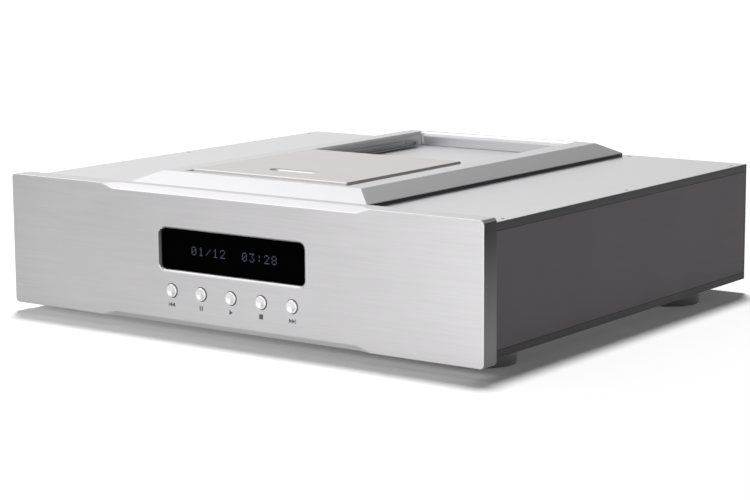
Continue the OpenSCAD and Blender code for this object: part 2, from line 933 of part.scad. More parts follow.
module rail_screws() {
  color("silver") placed() for (side = [-1, 1])
    at_rail_screws(side) cap_screw(rail_screw_l, rail_screw_r, rail_head_r, rail_head_h);
}

module sliding_lid() {
  lid_corner_r = 1.5;
  color("gainsboro") placed() difference() {
    translate([0, (lid_y0 + lid_y1) / 2, lid_under])
      linear_extrude(lid_t) round_rect(lid_w, lid_l, lid_corner_r);
    translate([0, lid_y0 + slot_back, lid_top - slot_depth]) linear_extrude(slot_depth + overcut) {
      square([slot_l - slot_w, slot_w], center = true);
      for (side = [-1, 1]) translate([side * (slot_l - slot_w) / 2, 0]) circle(slot_w / 2);
    }
    for (side = [-1, 1]) at_runner_screws(side) screw_hole(runner_screw_l, runner_screw_r);
  }
}

module runner(side) {
  tongue_z0 = rail_mid - tongue_t / 2;
  tongue_z1 = rail_mid + tongue_t / 2;
  color("dimgray") placed() difference() {
    mirror([side < 0 ? 1 : 0, 0, 0]) {
      box(runner_x0, runner_x1, runner_y0, runner_y1, lid_under - runner_flange_t, lid_under);
      box(runner_x1 - runner_web, runner_x1, runner_y0, runner_y1, tongue_z0, lid_under);
      box(runner_x1 - runner_web, runner_tip, runner_y0, runner_y1, tongue_z0, tongue_z1);
    }
    at_runner_screws(side) screw_hole(runner_screw_l, runner_screw_r);
  }
}

module runner_left() { runner(-1); }

module runner_right() { runner(1); }

module runner_screws() {
  color("silver") placed() for (side = [-1, 1])
    at_runner_screws(side) cap_screw(runner_screw_l, runner_screw_r, runner_head_r, runner_head_h);
}

// Disc drive

module disc_well() {
  floor_r = well_r + well_wall;
  flange_r = well_r + well_flange;
  flange_z = z_roof - well_flange_t;
  color("dimgray") placed() difference() {
    union() {
      translate([0, disc_y, 0]) rotate_extrude() polygon([[hub_hole_r, well_under], [floor_r, well_under],
        [floor_r, flange_z], [flange_r, flange_z], [flange_r, z_roof], [well_r, z_roof], [well_r, well_floor],
        [hub_hole_r, well_floor]]);
      for (p = boss_spots) bar_z(p[0], disc_y + p[1], boss_r, deck_top + grommet_t, well_under + overcut);
    }
    box(-laser_slot_half, laser_slot_half, disc_y, laser_slot_end, well_under - overcut, laser_slot_top);
    at_well_screws() screw_hole(well_screw_l);
    at_deck_screws() screw_hole(deck_screw_l);
  }
}

module mech_deck() {
  color("slategray") placed() difference() {
    union() {
      box(deck_x0, deck_x1, deck_y0, deck_y1, deck_under, deck_top);
      bar_z(gear_x, gear_y, gear_shoulder_r, deck_under, deck_top + gear_shoulder_h);
      bar_z(gear_x, gear_y, gear_post_r, deck_under, sled_z1);
    }
    bar_z(0, disc_y, motor_boss_r + seat_fit, deck_under - overcut, deck_top + overcut);
    bar_z(sled_motor_x, gear_y, motor_collar_r + seat_fit, deck_under - overcut, deck_top + overcut);
    at_deck_screws() screw_hole(deck_screw_l);
  }
}

module mech_grommets() {
  color("black") placed() for (p = boss_spots) translate([p[0], disc_y + p[1], deck_top]) difference() {
    cylinder(r = grommet_r, h = grommet_t);
    translate([0, 0, -overcut]) cylinder(r = screw_r + screw_fit, h = grommet_t + 2 * overcut);
  }
}

module motor_can(can_r, can_h, collar_r, collar_top, bore_r) {
  difference() {
    union() {
      bar_z(0, 0, can_r, deck_under - can_h, deck_under);
      bar_z(0, 0, collar_r, deck_under - overcut, collar_top);
    }
    bar_z(0, 0, bore_r, deck_under - can_h + motor_floor, collar_top + overcut);
  }
}

module spindle_motor() {
  color("silver") placed() translate([0, disc_y, 0])
    motor_can(motor_d / 2, motor_h, motor_boss_r, deck_top + motor_boss_h, shaft_r + shaft_fit);
}

module spindle_shaft() {
  color("silver") placed()
    bar_z(0, disc_y, shaft_r, deck_under - motor_h + motor_floor + seat_fit, seat_z + cone_h);
}

module turntable() {
  cone_r = cone_d / 2;
  rim_r = turntable_d / 2;
  bore_r = shaft_r + press_fit;
  hub_z = seat_z - hub_drop;
  rim_z = seat_z - turntable_t;
  cone_z = seat_z + cone_h;
  color("dimgray") placed() translate([0, disc_y, 0]) rotate_extrude()
    polygon([[bore_r, hub_z], [hub_r, hub_z], [hub_r, rim_z], [rim_r, rim_z], [rim_r, seat_z],
      [cone_r, seat_z], [cone_r - cone_taper, cone_z], [bore_r, cone_z]]);
}

module disc_puck() {
  r = puck_d / 2;
  waist_r = r - puck_waist;
  recess_r = cone_d / 2 + puck_fit;
  recess_h = cone_h + puck_fit;
  levels = [0.25, 0.4, 0.65, 0.8] * puck_h;
  color("black") placed() translate([0, disc_y, seat_z]) rotate_extrude()
    polygon([[recess_r, 0], [r, 0], [r, levels[0]], [waist_r, levels[1]], [waist_r, levels[2]],
      [r, levels[3]], [r, puck_h], [0, puck_h], [0, recess_h], [recess_r, recess_h]]);
}

module at_rods() {
  for (side = [-1, 1]) translate([side * rod_x, 0, rod_z]) children();
}

module guide_rods() {
  color("silver") placed() at_rods() bar_y(0, 0, rod_r, near_block_y, far_block_y + bracket_block_d);
}

module rod_brackets() {
  cap_z = min(well_under - 0.4, rod_z + rod_r + 1.6);
  color("black") placed() for (side = [-1, 1], y = [near_block_y, far_block_y]) difference() {
    translate([side * rod_x, 0, 0])
      box(-bracket_block_w / 2, bracket_block_w / 2, y, y + bracket_block_d, deck_top, cap_z);
    bar_y(side * rod_x, rod_z, rod_r + press_fit, y - overcut, y + bracket_block_d + overcut);
  }
}

module rack() {
  root_half = rack_pitch / 4 - backlash / 4 + tooth_ded * tan(pressure);
  tip_half = rack_pitch / 4 - backlash / 4 - tooth_add * tan(pressure);
  rack_y0 = gear_y - (rack_before + 0.5) * rack_pitch;
  rack_y1 = gear_y + (rack_after + 0.5) * rack_pitch;
  translate([0, 0, rack_z0]) linear_extrude(rack_z1 - rack_z0) {
    translate([sled_half - overcut, rack_y0]) square([rack_root_x - sled_half + overcut, rack_y1 - rack_y0]);
    for (i = [-rack_before:rack_after]) translate([rack_line_x, gear_y + i * rack_pitch])
      polygon([[-tooth_ded - 0.01, -root_half], [tooth_add, -tip_half], [tooth_add, tip_half],
        [-tooth_ded - 0.01, root_half]]);
  }
}

module laser_sled() {
  pocket = holder_w / 2 + holder_gap;
  tower = tower_w / 2;
  color("black") placed() difference() {
    union() {
      box(-sled_half, sled_half, sled_y0, sled_y1, sled_z0, sled_z1);
      box(-tower, tower, lens_y - tower, lens_y + tower, sled_z1 - overcut, tower_top);
      rack();
    }
    box(-pocket, pocket, lens_y - pocket, lens_y + pocket, pocket_z, tower_top + overcut);
    at_rods() bar_y(0, 0, rod_r + shaft_fit, sled_y0 - overcut, sled_y1 + overcut);
  }
}

module lens_holder() {
  color("dimgray") placed() difference() {
    box(-holder_w / 2, holder_w / 2, lens_y - holder_w / 2, lens_y + holder_w / 2, holder_z0, holder_z1);
    bar_z(0, lens_y, lens_r + press_fit, holder_z0 - overcut, holder_z1 + overcut);
  }
}

module objective_lens() {
  color("lightblue") placed() translate([0, lens_y, holder_z1 - lens_h]) intersection() {
    cylinder(r = lens_r, h = lens_h);
    translate([0, 0, lens_h - lens_dome]) sphere(r = lens_dome);
  }
}

// Sled drive

function involute(base_r, r) = let(a = acos(min(1, base_r / r))) tan(a) * 180 / PI - a;

function polar(r, a) = [r * cos(a), r * sin(a)];

function gear_points(teeth) = let(
    r = gear_module * teeth / 2,
    base_r = r * cos(pressure),
    root_r = r - tooth_ded,
    start_r = max(base_r, root_r),
    tip_r = r + tooth_add,
    half = 90 / teeth - backlash / 4 / r * 180 / PI + involute(base_r, r),
    radii = [for (k = [0:tooth_steps]) start_r + (tip_r - start_r) * k / tooth_steps],
    foot = root_r < start_r ? [[root_r, half]] : [],
    rise = concat(foot, [for (q = radii) [q, half - involute(base_r, q)]]),
    count = len(rise))
  [for (t = [0:teeth - 1], k = [0:2 * count - 1])
    let(p = k < count ? rise[k] : rise[2 * count - 1 - k], side = k < count ? -1 : 1)
    polar(p[0], t * 360 / teeth + side * p[1])];

module gear_solid(teeth, z0, z1, turn) {
  translate([0, 0, z0]) rotate([0, 0, turn]) linear_extrude(z1 - z0) polygon(gear_points(teeth));
}

module reduction_gear() {
  color("ivory") placed() translate([gear_x, gear_y, 0]) difference() {
    union() {
      gear_solid(wheel_teeth, wheel_z0, wheel_z1, 0);
      gear_solid(rack_pinion_teeth, wheel_z1 - overcut, rack_z1, 180 + 180 / rack_pinion_teeth);
    }
    bar_z(0, 0, gear_post_r + shaft_fit, wheel_z0 - overcut, rack_z1 + overcut);
  }
}

module motor_pinion() {
  color("goldenrod") placed() translate([sled_motor_x, gear_y, 0]) {
    gear_solid(motor_pinion_teeth, wheel_z0, wheel_z1, 180 + 180 / motor_pinion_teeth);
    bar_z(0, 0, motor_shaft_r, deck_under - sled_motor_h + motor_floor + seat_fit, wheel_z0 + overcut);
  }
}

module sled_motor() {
  color("silver") placed() translate([sled_motor_x, gear_y, 0])
    motor_can(sled_motor_d / 2, sled_motor_h, motor_collar_r, deck_top, motor_shaft_r + shaft_fit);
}

// Power supply and boards

module board(x0, y0, w, l) {
  color("darkgreen") placed() difference() {
    box(x0, x0 + w, y0, y0 + l, board_z, board_z + board_t);
    at_floor_posts() bar_z(0, 0, screw_r + screw_fit, 0, 2 * board_lift);
  }
}

module main_board() { board(main_x0, main_y0, main_w, main_l); }

module power_board() { board(power_x0, power_y0, power_w, power_l); }

module main_board_parts() {
  color("dimgray") placed() translate([main_x0, main_y0, board_z + board_t]) {
    for (i = [0, 1, 2]) translate([chip_x + i * chip_step, main_l / 2, 0]) cube([chip_w, chip_w, chip_h]);
    for (i = [0, 1]) translate([clock_x + i * clock_step, main_l - clock_rear, 0])
      cube([clock_w, clock_l, clock_h]);
    for (i = [0, 1]) translate([header_x + i * header_step, header_y, 0])
      cube([header_w, header_l, header_h]);
  }
}

module power_capacitors() {
  color("midnightblue") placed()
    translate([power_x0 + power_w / 2, power_y0 + power_l / 2, board_z + board_t])
      for (i = [-1, 1], j = [-1, 1]) translate([i * capacitor_step / 2, j * capacitor_step / 2])
        cylinder(r = capacitor_r, h = capacitor_h);
}

module board_posts() {
  color("goldenrod") placed() {
    at_floor_posts() post(board_lift);
    at_front_posts() post(front_post_l);
  }
}

module transformer() {
  color("saddlebrown") placed() translate([transformer_x, transformer_y, z_base]) difference() {
    cylinder(r = transformer_r, h = transformer_h);
    translate([0, 0, -overcut]) cylinder(r = transformer_bore, h = transformer_h + 2 * overcut);
  }
}

module transformer_clamp() {
  top = z_base + transformer_h;
  color("silver") placed() translate([transformer_x, transformer_y, 0]) {
    bar_z(0, 0, clamp_bolt_r, foot_h + screw_end, top + clamp_t);
    bar_z(0, 0, clamp_r, top, top + clamp_t);
    translate([0, 0, top]) cylinder(r = clamp_nut_r, h = clamp_t + clamp_nut_h, $fn = 6);
  }
}

// Rear sockets

module power_inlet() {
  cavity_w = inlet_w - 2 * inlet_wall;
  cavity_h = inlet_h - 2 * inlet_wall;
  cavity_y = case_d + flange_t - 16;
  blade_y = case_d + flange_t - 3;
  flange_r = 3;
  blade_w = 2;
  blade_h = 4;
  blades = [[-7, 3], [7, 3], [0, -1.5]];
  color("black") placed() translate([inlet_x, 0, socket_z]) {
    difference() {
      union() {
        along_y(case_d, case_d + flange_t) round_rect(inlet_flange_w, inlet_flange_h, flange_r);
        along_y(rear_y - inlet_deep, case_d + overcut) square([inlet_w, inlet_h], center = true);
      }
      along_y(cavity_y, case_d + flange_t + overcut) square([cavity_w, cavity_h], center = true);
      translate([-inlet_x, 0, -socket_z]) at_socket_screws() csk_hole(socket_screw_l);
    }
    for (p = blades) translate([p[0], 0, p[1]])
      along_y(cavity_y - overcut, blade_y) square([blade_w, blade_h], center = true);
  }
}

module switch_housing() {
  y0 = rear_y - switch_deep;
  y1 = case_d + switch_bezel_t;
  floor_t = 3;
  color("black") placed() translate([switch_x, 0, socket_z]) difference() {
    union() {
      along_y(case_d, y1) square([switch_w + 2 * switch_bezel, switch_h + 2 * switch_bezel], center = true);
      along_y(y0, case_d + overcut) square([switch_w, switch_h], center = true);
    }
    along_y(y0 + floor_t, y1 + overcut)
      square([switch_w - 2 * switch_wall, switch_h - 2 * switch_wall], center = true);
    bar_x(case_d - rocker_in, 0, rocker_pin_r + shaft_fit, -switch_w / 2 - overcut, switch_w / 2 + overcut);
  }
}

module power_rocker() {
  pin_half = switch_w / 2 - switch_wall + rocker_pin_reach;
  reach = 3;
  dip = 0.6;
  taper = 2;
  color("black") placed() translate([switch_x, case_d - rocker_in, socket_z]) rotate([-rocker_tilt, 0, 0]) {
    along_x(-rocker_half_w, rocker_half_w) polygon([[-reach, taper - rocker_half_h], [reach, -rocker_half_h],
      [reach - dip, 0], [reach, rocker_half_h], [-reach, rocker_half_h - taper]]);
    bar_x(0, 0, rocker_pin_r, -pin_half, pin_half);
  }
}

module xlr_socket() {
  cavity_y = case_d + flange_t - xlr_deep;
  pin_y = case_d + flange_t - 2;
  pin_r = 1.2;
  flange_r = 2;
  back_t = 3.5;
  color("silver") placed() translate([xlr_x, 0, socket_z]) {
    difference() {
      union() {
        along_y(case_d, case_d + flange_t) round_rect(xlr_flange_w, xlr_flange_h, flange_r);
        bar_y(0, 0, xlr_r, cavity_y - back_t, case_d + overcut);
      }
      bar_y(0, 0, xlr_r - xlr_wall, cavity_y, case_d + flange_t + overcut);
      translate([-xlr_x, 0, -socket_z]) at_socket_screws() csk_hole(socket_screw_l);
    }
    for (a = [30, 150, 270])
      bar_y(xlr_pin_circle * cos(a), xlr_pin_circle * sin(a), pin_r, cavity_y - overcut, pin_y);
  }
}

// Barrel that passes through the rear panel, with a nut outside, profile in radius and Y
module jack(x, barrel_r, length, bore_r, bore_deep) {
  translate([x, case_d, socket_z]) rotate([-90, 0, 0]) {
    difference() {
      union() {
        translate([0, 0, -rear_t - jack_tail]) cylinder(r = barrel_r, h = rear_t + jack_tail + length);
        cylinder(r = nut_r, h = nut_t, $fn = 6);
      }
      translate([0, 0, length - bore_deep]) cylinder(r = bore_r, h = bore_deep + overcut);
    }
  }
}

module rca_jack() {
  bore_r = 1.7;
  color("gold") placed() jack(rca_x, rca_d / 2, rca_l, bore_r, rca_l - 1);
}

module bnc_jack() {
  wall = 0.8;
  barrel_r = bnc_d / 2;
  bore_deep = bnc_l - 2;
  end_y = case_d + bnc_l;
  lug_r = 0.9;
  lug_out = 0.9;
  pin_r = 1.1;
  color("silver") placed() {
    jack(bnc_x, barrel_r, bnc_l, barrel_r - wall, bore_deep);
    for (side = [-1, 1])
      translate([bnc_x + side * (barrel_r + (lug_out - wall / 2) / 2), end_y - 4, socket_z])
        rotate([0, 90, 0]) cylinder(r = lug_r, h = lug_out + wall / 2, center = true);
    bar_y(bnc_x, socket_z, pin_r, end_y - bore_deep - overcut, end_y - 3);
  }
}

module data_socket() {
  y0 = rear_y - data_deep;
  back_t = 2;
  tongue_w = data_w - 5;
  tongue_h = 1.4;
  color("silver") placed() translate([data_x, 0, socket_z]) {
    difference() {
      along_y(y0, case_d + data_out) square([data_w, data_h], center = true);
      along_y(y0 + back_t, case_d + data_out + overcut)
        square([data_w - 2 * data_wall, data_h - 2 * data_wall], center = true);
    }
    along_y(y0 + back_t / 2, case_d - data_out) square([tongue_w, tongue_h], center = true);
  }
}

// Feet and fasteners

module feet() {
  color("dimgray") placed() for (p = foot_spots) translate([p[0], p[1], 0]) difference() {
    bar_z(0, 0, foot_d / 2, pad_t, foot_h);
    bar_z(0, 0, foot_bore_r, pad_t - overcut, foot_h - foot_shelf);
    bar_z(0, 0, foot_screw_r + screw_fit, pad_t, foot_h + overcut);
  }
}

module foot_pads() {
  color("black") placed() for (p = foot_spots) translate([p[0], p[1], 0]) difference() {
    cylinder(r = pad_r1, h = pad_t);
    translate([0, 0, -overcut]) cylinder(r = pad_r0, h = pad_t + 2 * overcut);
  }
}

module foot_screws() {
  length = foot_shelf + bottom_t - screw_end;
  color("silver") placed() for (p = foot_spots)
    translate([p[0], p[1], foot_h - foot_shelf]) rotate([180, 0, 0])
      cap_screw(length, foot_screw_r, foot_head_r, foot_head_h);
}

module case_screws() {
  color("silver") placed() {
    at_top_screws() csk_screw(case_screw_l);
    at_bottom_screws() csk_screw(case_screw_l);
    at_rear_screws() csk_screw(case_screw_l);
  }
}

module cap_screws() {
  color("darkgray") placed() {
    at_panel_bracket_screws() cap_screw(bracket_screw_l);
    at_side_bracket_screws() cap_screw(bracket_screw_l);
    at_surround_screws() cap_screw(surround_screw_l);
    at_well_screws() cap_screw(well_screw_l);
    at_deck_screws() cap_screw(deck_screw_l);
  }
}

module board_screws() {
  grip = 4;
  color("silver") placed() {
    at_floor_posts() translate([0, 0, board_lift + board_t]) cap_screw(board_t + grip);
    at_front_posts() translate([0, 0, front_post_l + board_t]) cap_screw(board_t + grip);
  }
}

module socket_screws() {
  color("silver") placed() at_socket_screws() csk_screw(socket_screw_l);
}

front_panel();
display_window();
display_module();
front_board();
tact_switches();
top_plate();
bottom_plate();
left_side();
right_side();
rear_panel();
corner_brackets();
lid_surround();
rail_left();
rail_right();
disc_well();
mech_deck();
mech_grommets();
spindle_motor();
guide_rods();
rod_brackets();
sled_motor();
main_board();
main_board_parts();
power_board();
power_capacitors();
board_posts();
transformer();
transformer_clamp();
power_inlet();
switch_housing();
xlr_socket();
rca_jack();
bnc_jack();
data_socket();
feet();
foot_pads();
foot_screws();
case_screws();
cap_screws();
board_screws();
rail_screws();
socket_screws();
sliding_lid();
runner_left();
runner_right();
runner_screws();
prev_button();
pause_button();
play_button();
stop_button();
next_button();
power_rocker();
spindle_shaft();
turntable();
disc_puck();
laser_sled();
lens_holder();
objective_lens();
reduction_gear();
motor_pinion();
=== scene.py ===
"""Looks of a top-loading disc transport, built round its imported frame."""
import json
import math

import bmesh
import bpy
from mathutils import Matrix, Vector


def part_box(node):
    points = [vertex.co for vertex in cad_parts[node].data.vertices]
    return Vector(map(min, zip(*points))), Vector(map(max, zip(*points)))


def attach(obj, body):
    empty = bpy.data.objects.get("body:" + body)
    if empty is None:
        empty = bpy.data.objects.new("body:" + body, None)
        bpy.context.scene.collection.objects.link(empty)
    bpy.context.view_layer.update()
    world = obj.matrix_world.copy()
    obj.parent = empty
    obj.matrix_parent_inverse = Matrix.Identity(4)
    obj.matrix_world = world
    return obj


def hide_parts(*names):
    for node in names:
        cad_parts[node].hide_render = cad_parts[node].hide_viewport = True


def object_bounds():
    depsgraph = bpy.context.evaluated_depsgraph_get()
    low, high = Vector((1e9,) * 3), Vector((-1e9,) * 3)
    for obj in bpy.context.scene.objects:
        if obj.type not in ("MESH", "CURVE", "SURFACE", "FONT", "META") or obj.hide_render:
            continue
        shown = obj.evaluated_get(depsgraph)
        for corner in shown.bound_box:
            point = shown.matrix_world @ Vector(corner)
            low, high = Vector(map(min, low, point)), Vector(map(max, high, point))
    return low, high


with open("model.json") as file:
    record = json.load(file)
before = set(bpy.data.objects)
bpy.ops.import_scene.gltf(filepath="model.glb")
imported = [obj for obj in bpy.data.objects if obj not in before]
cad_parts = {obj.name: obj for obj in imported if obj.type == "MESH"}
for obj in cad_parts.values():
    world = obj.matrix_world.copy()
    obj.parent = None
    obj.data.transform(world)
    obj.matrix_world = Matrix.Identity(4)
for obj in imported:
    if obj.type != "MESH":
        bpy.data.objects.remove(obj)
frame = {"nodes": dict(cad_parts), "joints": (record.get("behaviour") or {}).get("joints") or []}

bl_info = {
    "name": "Disc transport looks",
    "version": (1, 0, 0),
    "blender": (4, 5, 0),
    "location": "View3D > Sidebar > Transport",
    "description": "Finishes, trim and stage for a top-loading disc transport",
    "category": "Object",
}

CAD_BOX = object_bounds()
MM = 0.001
WELD = 1e-6
FLAT = math.radians(0.5)
SHARP = math.radians(28)
SMOOTH = math.radians(50)
# Shares of Z in the normals of faces that count as upright and as level
UPRIGHT = 0.3
LEVEL = 0.95
UP = Vector((0, 0, 1))
REARWARD = Vector((0, 1, 0))

# Lines per metre along X, Y and Z for brushing that runs along one axis
BRUSHED_ALONG_X = (22.0, 1500.0, 1500.0)
BRUSHED_ALONG_Y = (1500.0, 22.0, 1500.0)
BRUSHED_ALONG_Z = (1500.0, 1500.0, 22.0)

# Lit dots of each sign on the readout, from the top row down
DOT_ROWS = 7
DOT_COLUMNS = 5
SIGNS = {
    "0": (".###.", "#...#", "#..##", "#.#.#", "##..#", "#...#", ".###."),
    "1": ("..#..", ".##..", "..#..", "..#..", "..#..", "..#..", ".###."),
    "2": (".###.", "#...#", "....#", "...#.", "..#..", ".#...", "#####"),
    "3": ("#####", "...#.", "..#..", "...#.", "....#", "#...#", ".###."),
    "4": ("...#.", "..##.", ".#.#.", "#..#.", "#####", "...#.", "...#."),
    "5": ("#####", "#....", "####.", "....#", "....#", "#...#", ".###."),
    "6": ("..##.", ".#...", "#....", "####.", "#...#", "#...#", ".###."),
    "7": ("#####", "....#", "...#.", "..#..", ".#...", ".#...", ".#..."),
    "8": (".###.", "#...#", "#...#", ".###.", "#...#", "#...#", ".###."),
    "9": (".###.", "#...#", "#...#", ".####", "....#", "...#.", ".##.."),
    "/": (".....", "....#", "...#.", "..#..", ".#...", "#....", "....."),
    ":": (".....", "..#..", "..#..", ".....", "..#..", "..#..", "....."),
    " ": (".....", ".....", ".....", ".....", ".....", ".....", "....."),
}


# Properties

def colour(name, description, default):
    return bpy.props.FloatVectorProperty(
        name=name, description=description, default=default, subtype="COLOR", size=3, min=0.0, max=1.0)


def length(name, description, default):
    return bpy.props.FloatProperty(
        name=name, description=description, default=default, subtype="DISTANCE", unit="LENGTH", precision=5)


def share(name, description, default):
    return bpy.props.FloatProperty(
        name=name, description=description, default=default, subtype="FACTOR", min=0.0, max=1.0)


def amount(name, description, default):
    return bpy.props.FloatProperty(name=name, description=description, default=default, min=0.0)


class CaseLook(bpy.types.PropertyGroup):
    """Finish of the case, the surround and the lid"""
    panel_colour: colour("Panel", "Colour of the brushed front panel", (0.63, 0.62, 0.63))
    plate_colour: colour("Plates", "Colour of the top plate", (0.71, 0.71, 0.72))
    surround_colour: colour("Surround", "Colour of the raised surround", (0.64, 0.64, 0.65))
    lid_colour: colour("Lid", "Colour of the sliding lid", (0.57, 0.55, 0.54))
    # Painted shade: dark grey on the sides, the rear and the bottom, standing in for the shade on the sides
    side_shade_colour: colour("Sides", "Colour of the sides, the rear and the bottom", (0.074, 0.069, 0.073))
    # Painted shade: the ends of the front panel are dark grey for the shade they stand in
    end_shade_colour: colour("Panel ends", "Colour of the ends of the front panel", (0.100, 0.098, 0.101))
    # Painted shade: the surround's upright outer foot is dark grey for the shade it stands in
    base_shade_colour: colour("Surround's foot", "Colour of the upright foot of the surround",
                        (0.085, 0.083, 0.086))
    # Painted shade: the edges of the top and bottom plates are near black for the shade they stand in
    edge_shade_colour: colour("Plate edges", "Colour of the edges of the plates", (0.037, 0.036, 0.038))
    button_colour: colour("Buttons", "Colour of the turned button caps", (0.86, 0.85, 0.86))
    ink_colour: colour("Marks", "Colour of the marks under the buttons", (0.16, 0.155, 0.16))
    roughness: share("Roughness", "Roughness of the anodised surfaces", 0.42)
    edge_width: length("Edge", "Width of the softened edges of the front panel", 0.6 * MM)
    seam_width: length("Seam", "Width of the dark chamfers where the panels meet", 0.22 * MM)
    corner_radius: length("Corner", "Radius in the rear corners of the lid's opening", 2.0 * MM)
    lid_edge: length("Lid edge", "Width of the lid's rounded edges", 1.1 * MM)
    slot_chamfer: length("Slot chamfer", "Width of the chamfer behind the finger slot", 1.8 * MM)
    window_chamfer: length("Window chamfer", "Width of the bright chamfer round the display", 1.6 * MM)


class ReadoutLook(bpy.types.PropertyGroup):
    """Digits behind the display window"""
    digits: bpy.props.StringProperty(
        name="Digits", description="Digits, colons, strokes and spaces to show", default="01/12  03:28")
    dot_pitch: length("Dot pitch", "Distance between two dots", 0.93 * MM)
    dot_size: length("Dot size", "Width of a dot", 0.66 * MM)
    cell_pitch: length("Cell pitch", "Distance between two signs", 6.8 * MM)
    glow_colour: colour("Glow", "Colour of the lit dots", (0.28, 0.52, 0.95))
    glow_strength: amount("Strength", "Strength of the lit dots", 0.13)


class DriveLook(bpy.types.PropertyGroup):
    """Disc drive under the lid"""
    well_colour: colour("Well", "Colour of the disc well", (0.13, 0.13, 0.14))
    puck_colour: colour("Puck", "Colour of the disc puck", (0.05, 0.05, 0.055))
    ring_colour: colour("Puck ring", "Colour of the ring on the puck", (0.72, 0.72, 0.73))
    rib_count: bpy.props.IntProperty(
        name="Ribs", description="Grip ribs round the puck", default=72, min=3)


class StageLook(bpy.types.PropertyGroup):
    """Camera, floor and light"""
    camera_place: bpy.props.FloatVectorProperty(
        name="Camera", description="Place of the camera", default=(1.001773, -1.396505, 0.327464),
        subtype="TRANSLATION", unit="LENGTH")
    camera_target: bpy.props.FloatVectorProperty(
        name="Target", description="Point that the camera looks at", default=(-0.00028, -0.02017, 0.04318),
        subtype="TRANSLATION", unit="LENGTH")
    camera_roll: bpy.props.FloatProperty(
        name="Roll", description="Turn of the camera about its own line of sight",
        default=math.radians(-0.362), subtype="ANGLE", unit="ROTATION")
    lens: bpy.props.FloatProperty(
        name="Lens", description="Focal length in millimetres", default=105.646, unit="CAMERA")
    floor_colour: colour("Floor", "Colour of the floor", (0.95, 0.95, 0.95))
    floor_size: length("Floor size", "Width of the floor", 60.0)
    floor_glow: amount("Floor glow", "Brightness in reflections of the floor on the right", 1.12)
    floor_fall: share("Floor fall", "Share of that brightness left on the left", 0.44)
    corner_glow: amount("Corner glow", "Brightness added in reflections of the floor's right front", 0.5)
    under_fall: share("Under fall", "Share of that brightness left under the part", 0.55)
    shade_left: amount("Shade left", "Brightness of the shadow itself on the left", 0.26)
    shade_right: amount("Shade right", "Brightness of the shadow itself on the right", 0.05)
    key_strength: amount("Key", "Strength of the soft key light", 2.9)
    key_angle: bpy.props.FloatProperty(
        name="Key size", description="Angle that the key light fills", default=math.radians(11),
        subtype="ANGLE", unit="ROTATION")
    bright_side: amount("Bright side", "Brightness of the studio on the left of the part", 1.08)
    dark_side: amount("Dark side", "Brightness of the studio on the right of the part", 0.16)
    front_share: share("Front share", "Share of that brightness left in front of the part", 0.35)
    matt_share: share("Matt share", "Share of the studio's light that falls on matt surfaces", 0.15)
    front_fill: amount("Front fill", "Brightness of the light panel in front of the part", 1.6)
    right_fill: amount("Right fill", "Brightness of the light panel high on the right", 0.45)
    upper_fill: amount("Upper fill", "Brightness of the light panel high on the left", 1.7)


# Node helpers

def node(tree, kind, links=None, values=None, **settings):
    """Adds a node, sets it, and links other nodes' outputs to its inputs."""
    made = tree.nodes.new(kind)
    for key, value in settings.items():
        setattr(made, key, value)
    for key, value in (values or {}).items():
        made.inputs[key].default_value = value
    for key, source in (links or {}).items():
        tree.links.new(source, made.inputs[key])
    return made


def math_node(tree, operation, first, second, third=None):
    """Output of a Math node whose inputs are outputs or plain numbers."""
    made = tree.nodes.new("ShaderNodeMath")
    made.operation = operation
    for index, source in enumerate((first, second, third)):
        if source is None:
            continue
        if isinstance(source, bpy.types.NodeSocket):
            tree.links.new(source, made.inputs[index])
        else:
            made.inputs[index].default_value = source
    return made.outputs[0]


def ramp(tree, source, start, stop, first, last, **settings):
    """Output that goes from first to last while the source goes from start to stop."""
    values = {"From Min": start, "From Max": stop, "To Min": first, "To Max": last}
    return node(tree, "ShaderNodeMapRange", {"Value": source}, values, **settings).outputs["Result"]


def vector_node(tree, operation, place, constant):
    """Output of a Vector Math node on an output and a plain vector."""
    made = node(tree, "ShaderNodeVectorMath", {0: place}, {1: constant}, operation=operation)
    return made.outputs["Vector"]


def blank_material(name):
    material = bpy.data.materials.new(name)
    material.use_nodes = True
    return material, material.node_tree, material.node_tree.nodes["Principled BSDF"]


def object_place(tree):
    return node(tree, "ShaderNodeTexCoord").outputs["Object"]


def stretched(tree, place, scale):
    return node(tree, "ShaderNodeMapping", {"Vector": place}, {"Scale": scale}).outputs["Vector"]


def noise(tree, place, scale, detail=3.0, roughness=0.55):
    values = {"Scale": scale, "Detail": detail, "Roughness": roughness}
    return node(tree, "ShaderNodeTexNoise", {"Vector": place}, values).outputs["Fac"]


def swing(tree, source, reach, middle):
    """Turns noise round one half into a swing of reach either way about middle."""
    return math_node(tree, "MULTIPLY_ADD", source, 2 * reach, middle - reach)


def toned(tree, shader, tone, value):
    """Base colour times a varying brightness."""
    scaled = node(tree, "ShaderNodeVectorMath", {"Scale": value}, {"Vector": tone}, operation="SCALE")
    tree.links.new(scaled.outputs["Vector"], shader.inputs["Base Color"])


def bumped(tree, shader, height, distance, strength=1.0):
    made = node(tree, "ShaderNodeBump", {"Height": height}, {"Distance": distance, "Strength": strength})
    tree.links.new(made.outputs["Normal"], shader.inputs["Normal"])


def radius_about(tree, place, centre, along):
    """Distance from a line through centre along one axis, given as a unit vector."""
    moved = vector_node(tree, "SUBTRACT", place, centre)
    across = tuple(1.0 - abs(part) for part in along)
    flat = vector_node(tree, "MULTIPLY", moved, across)
    return node(tree, "ShaderNodeVectorMath", {0: flat}, operation="LENGTH").outputs["Value"]


# Finishes

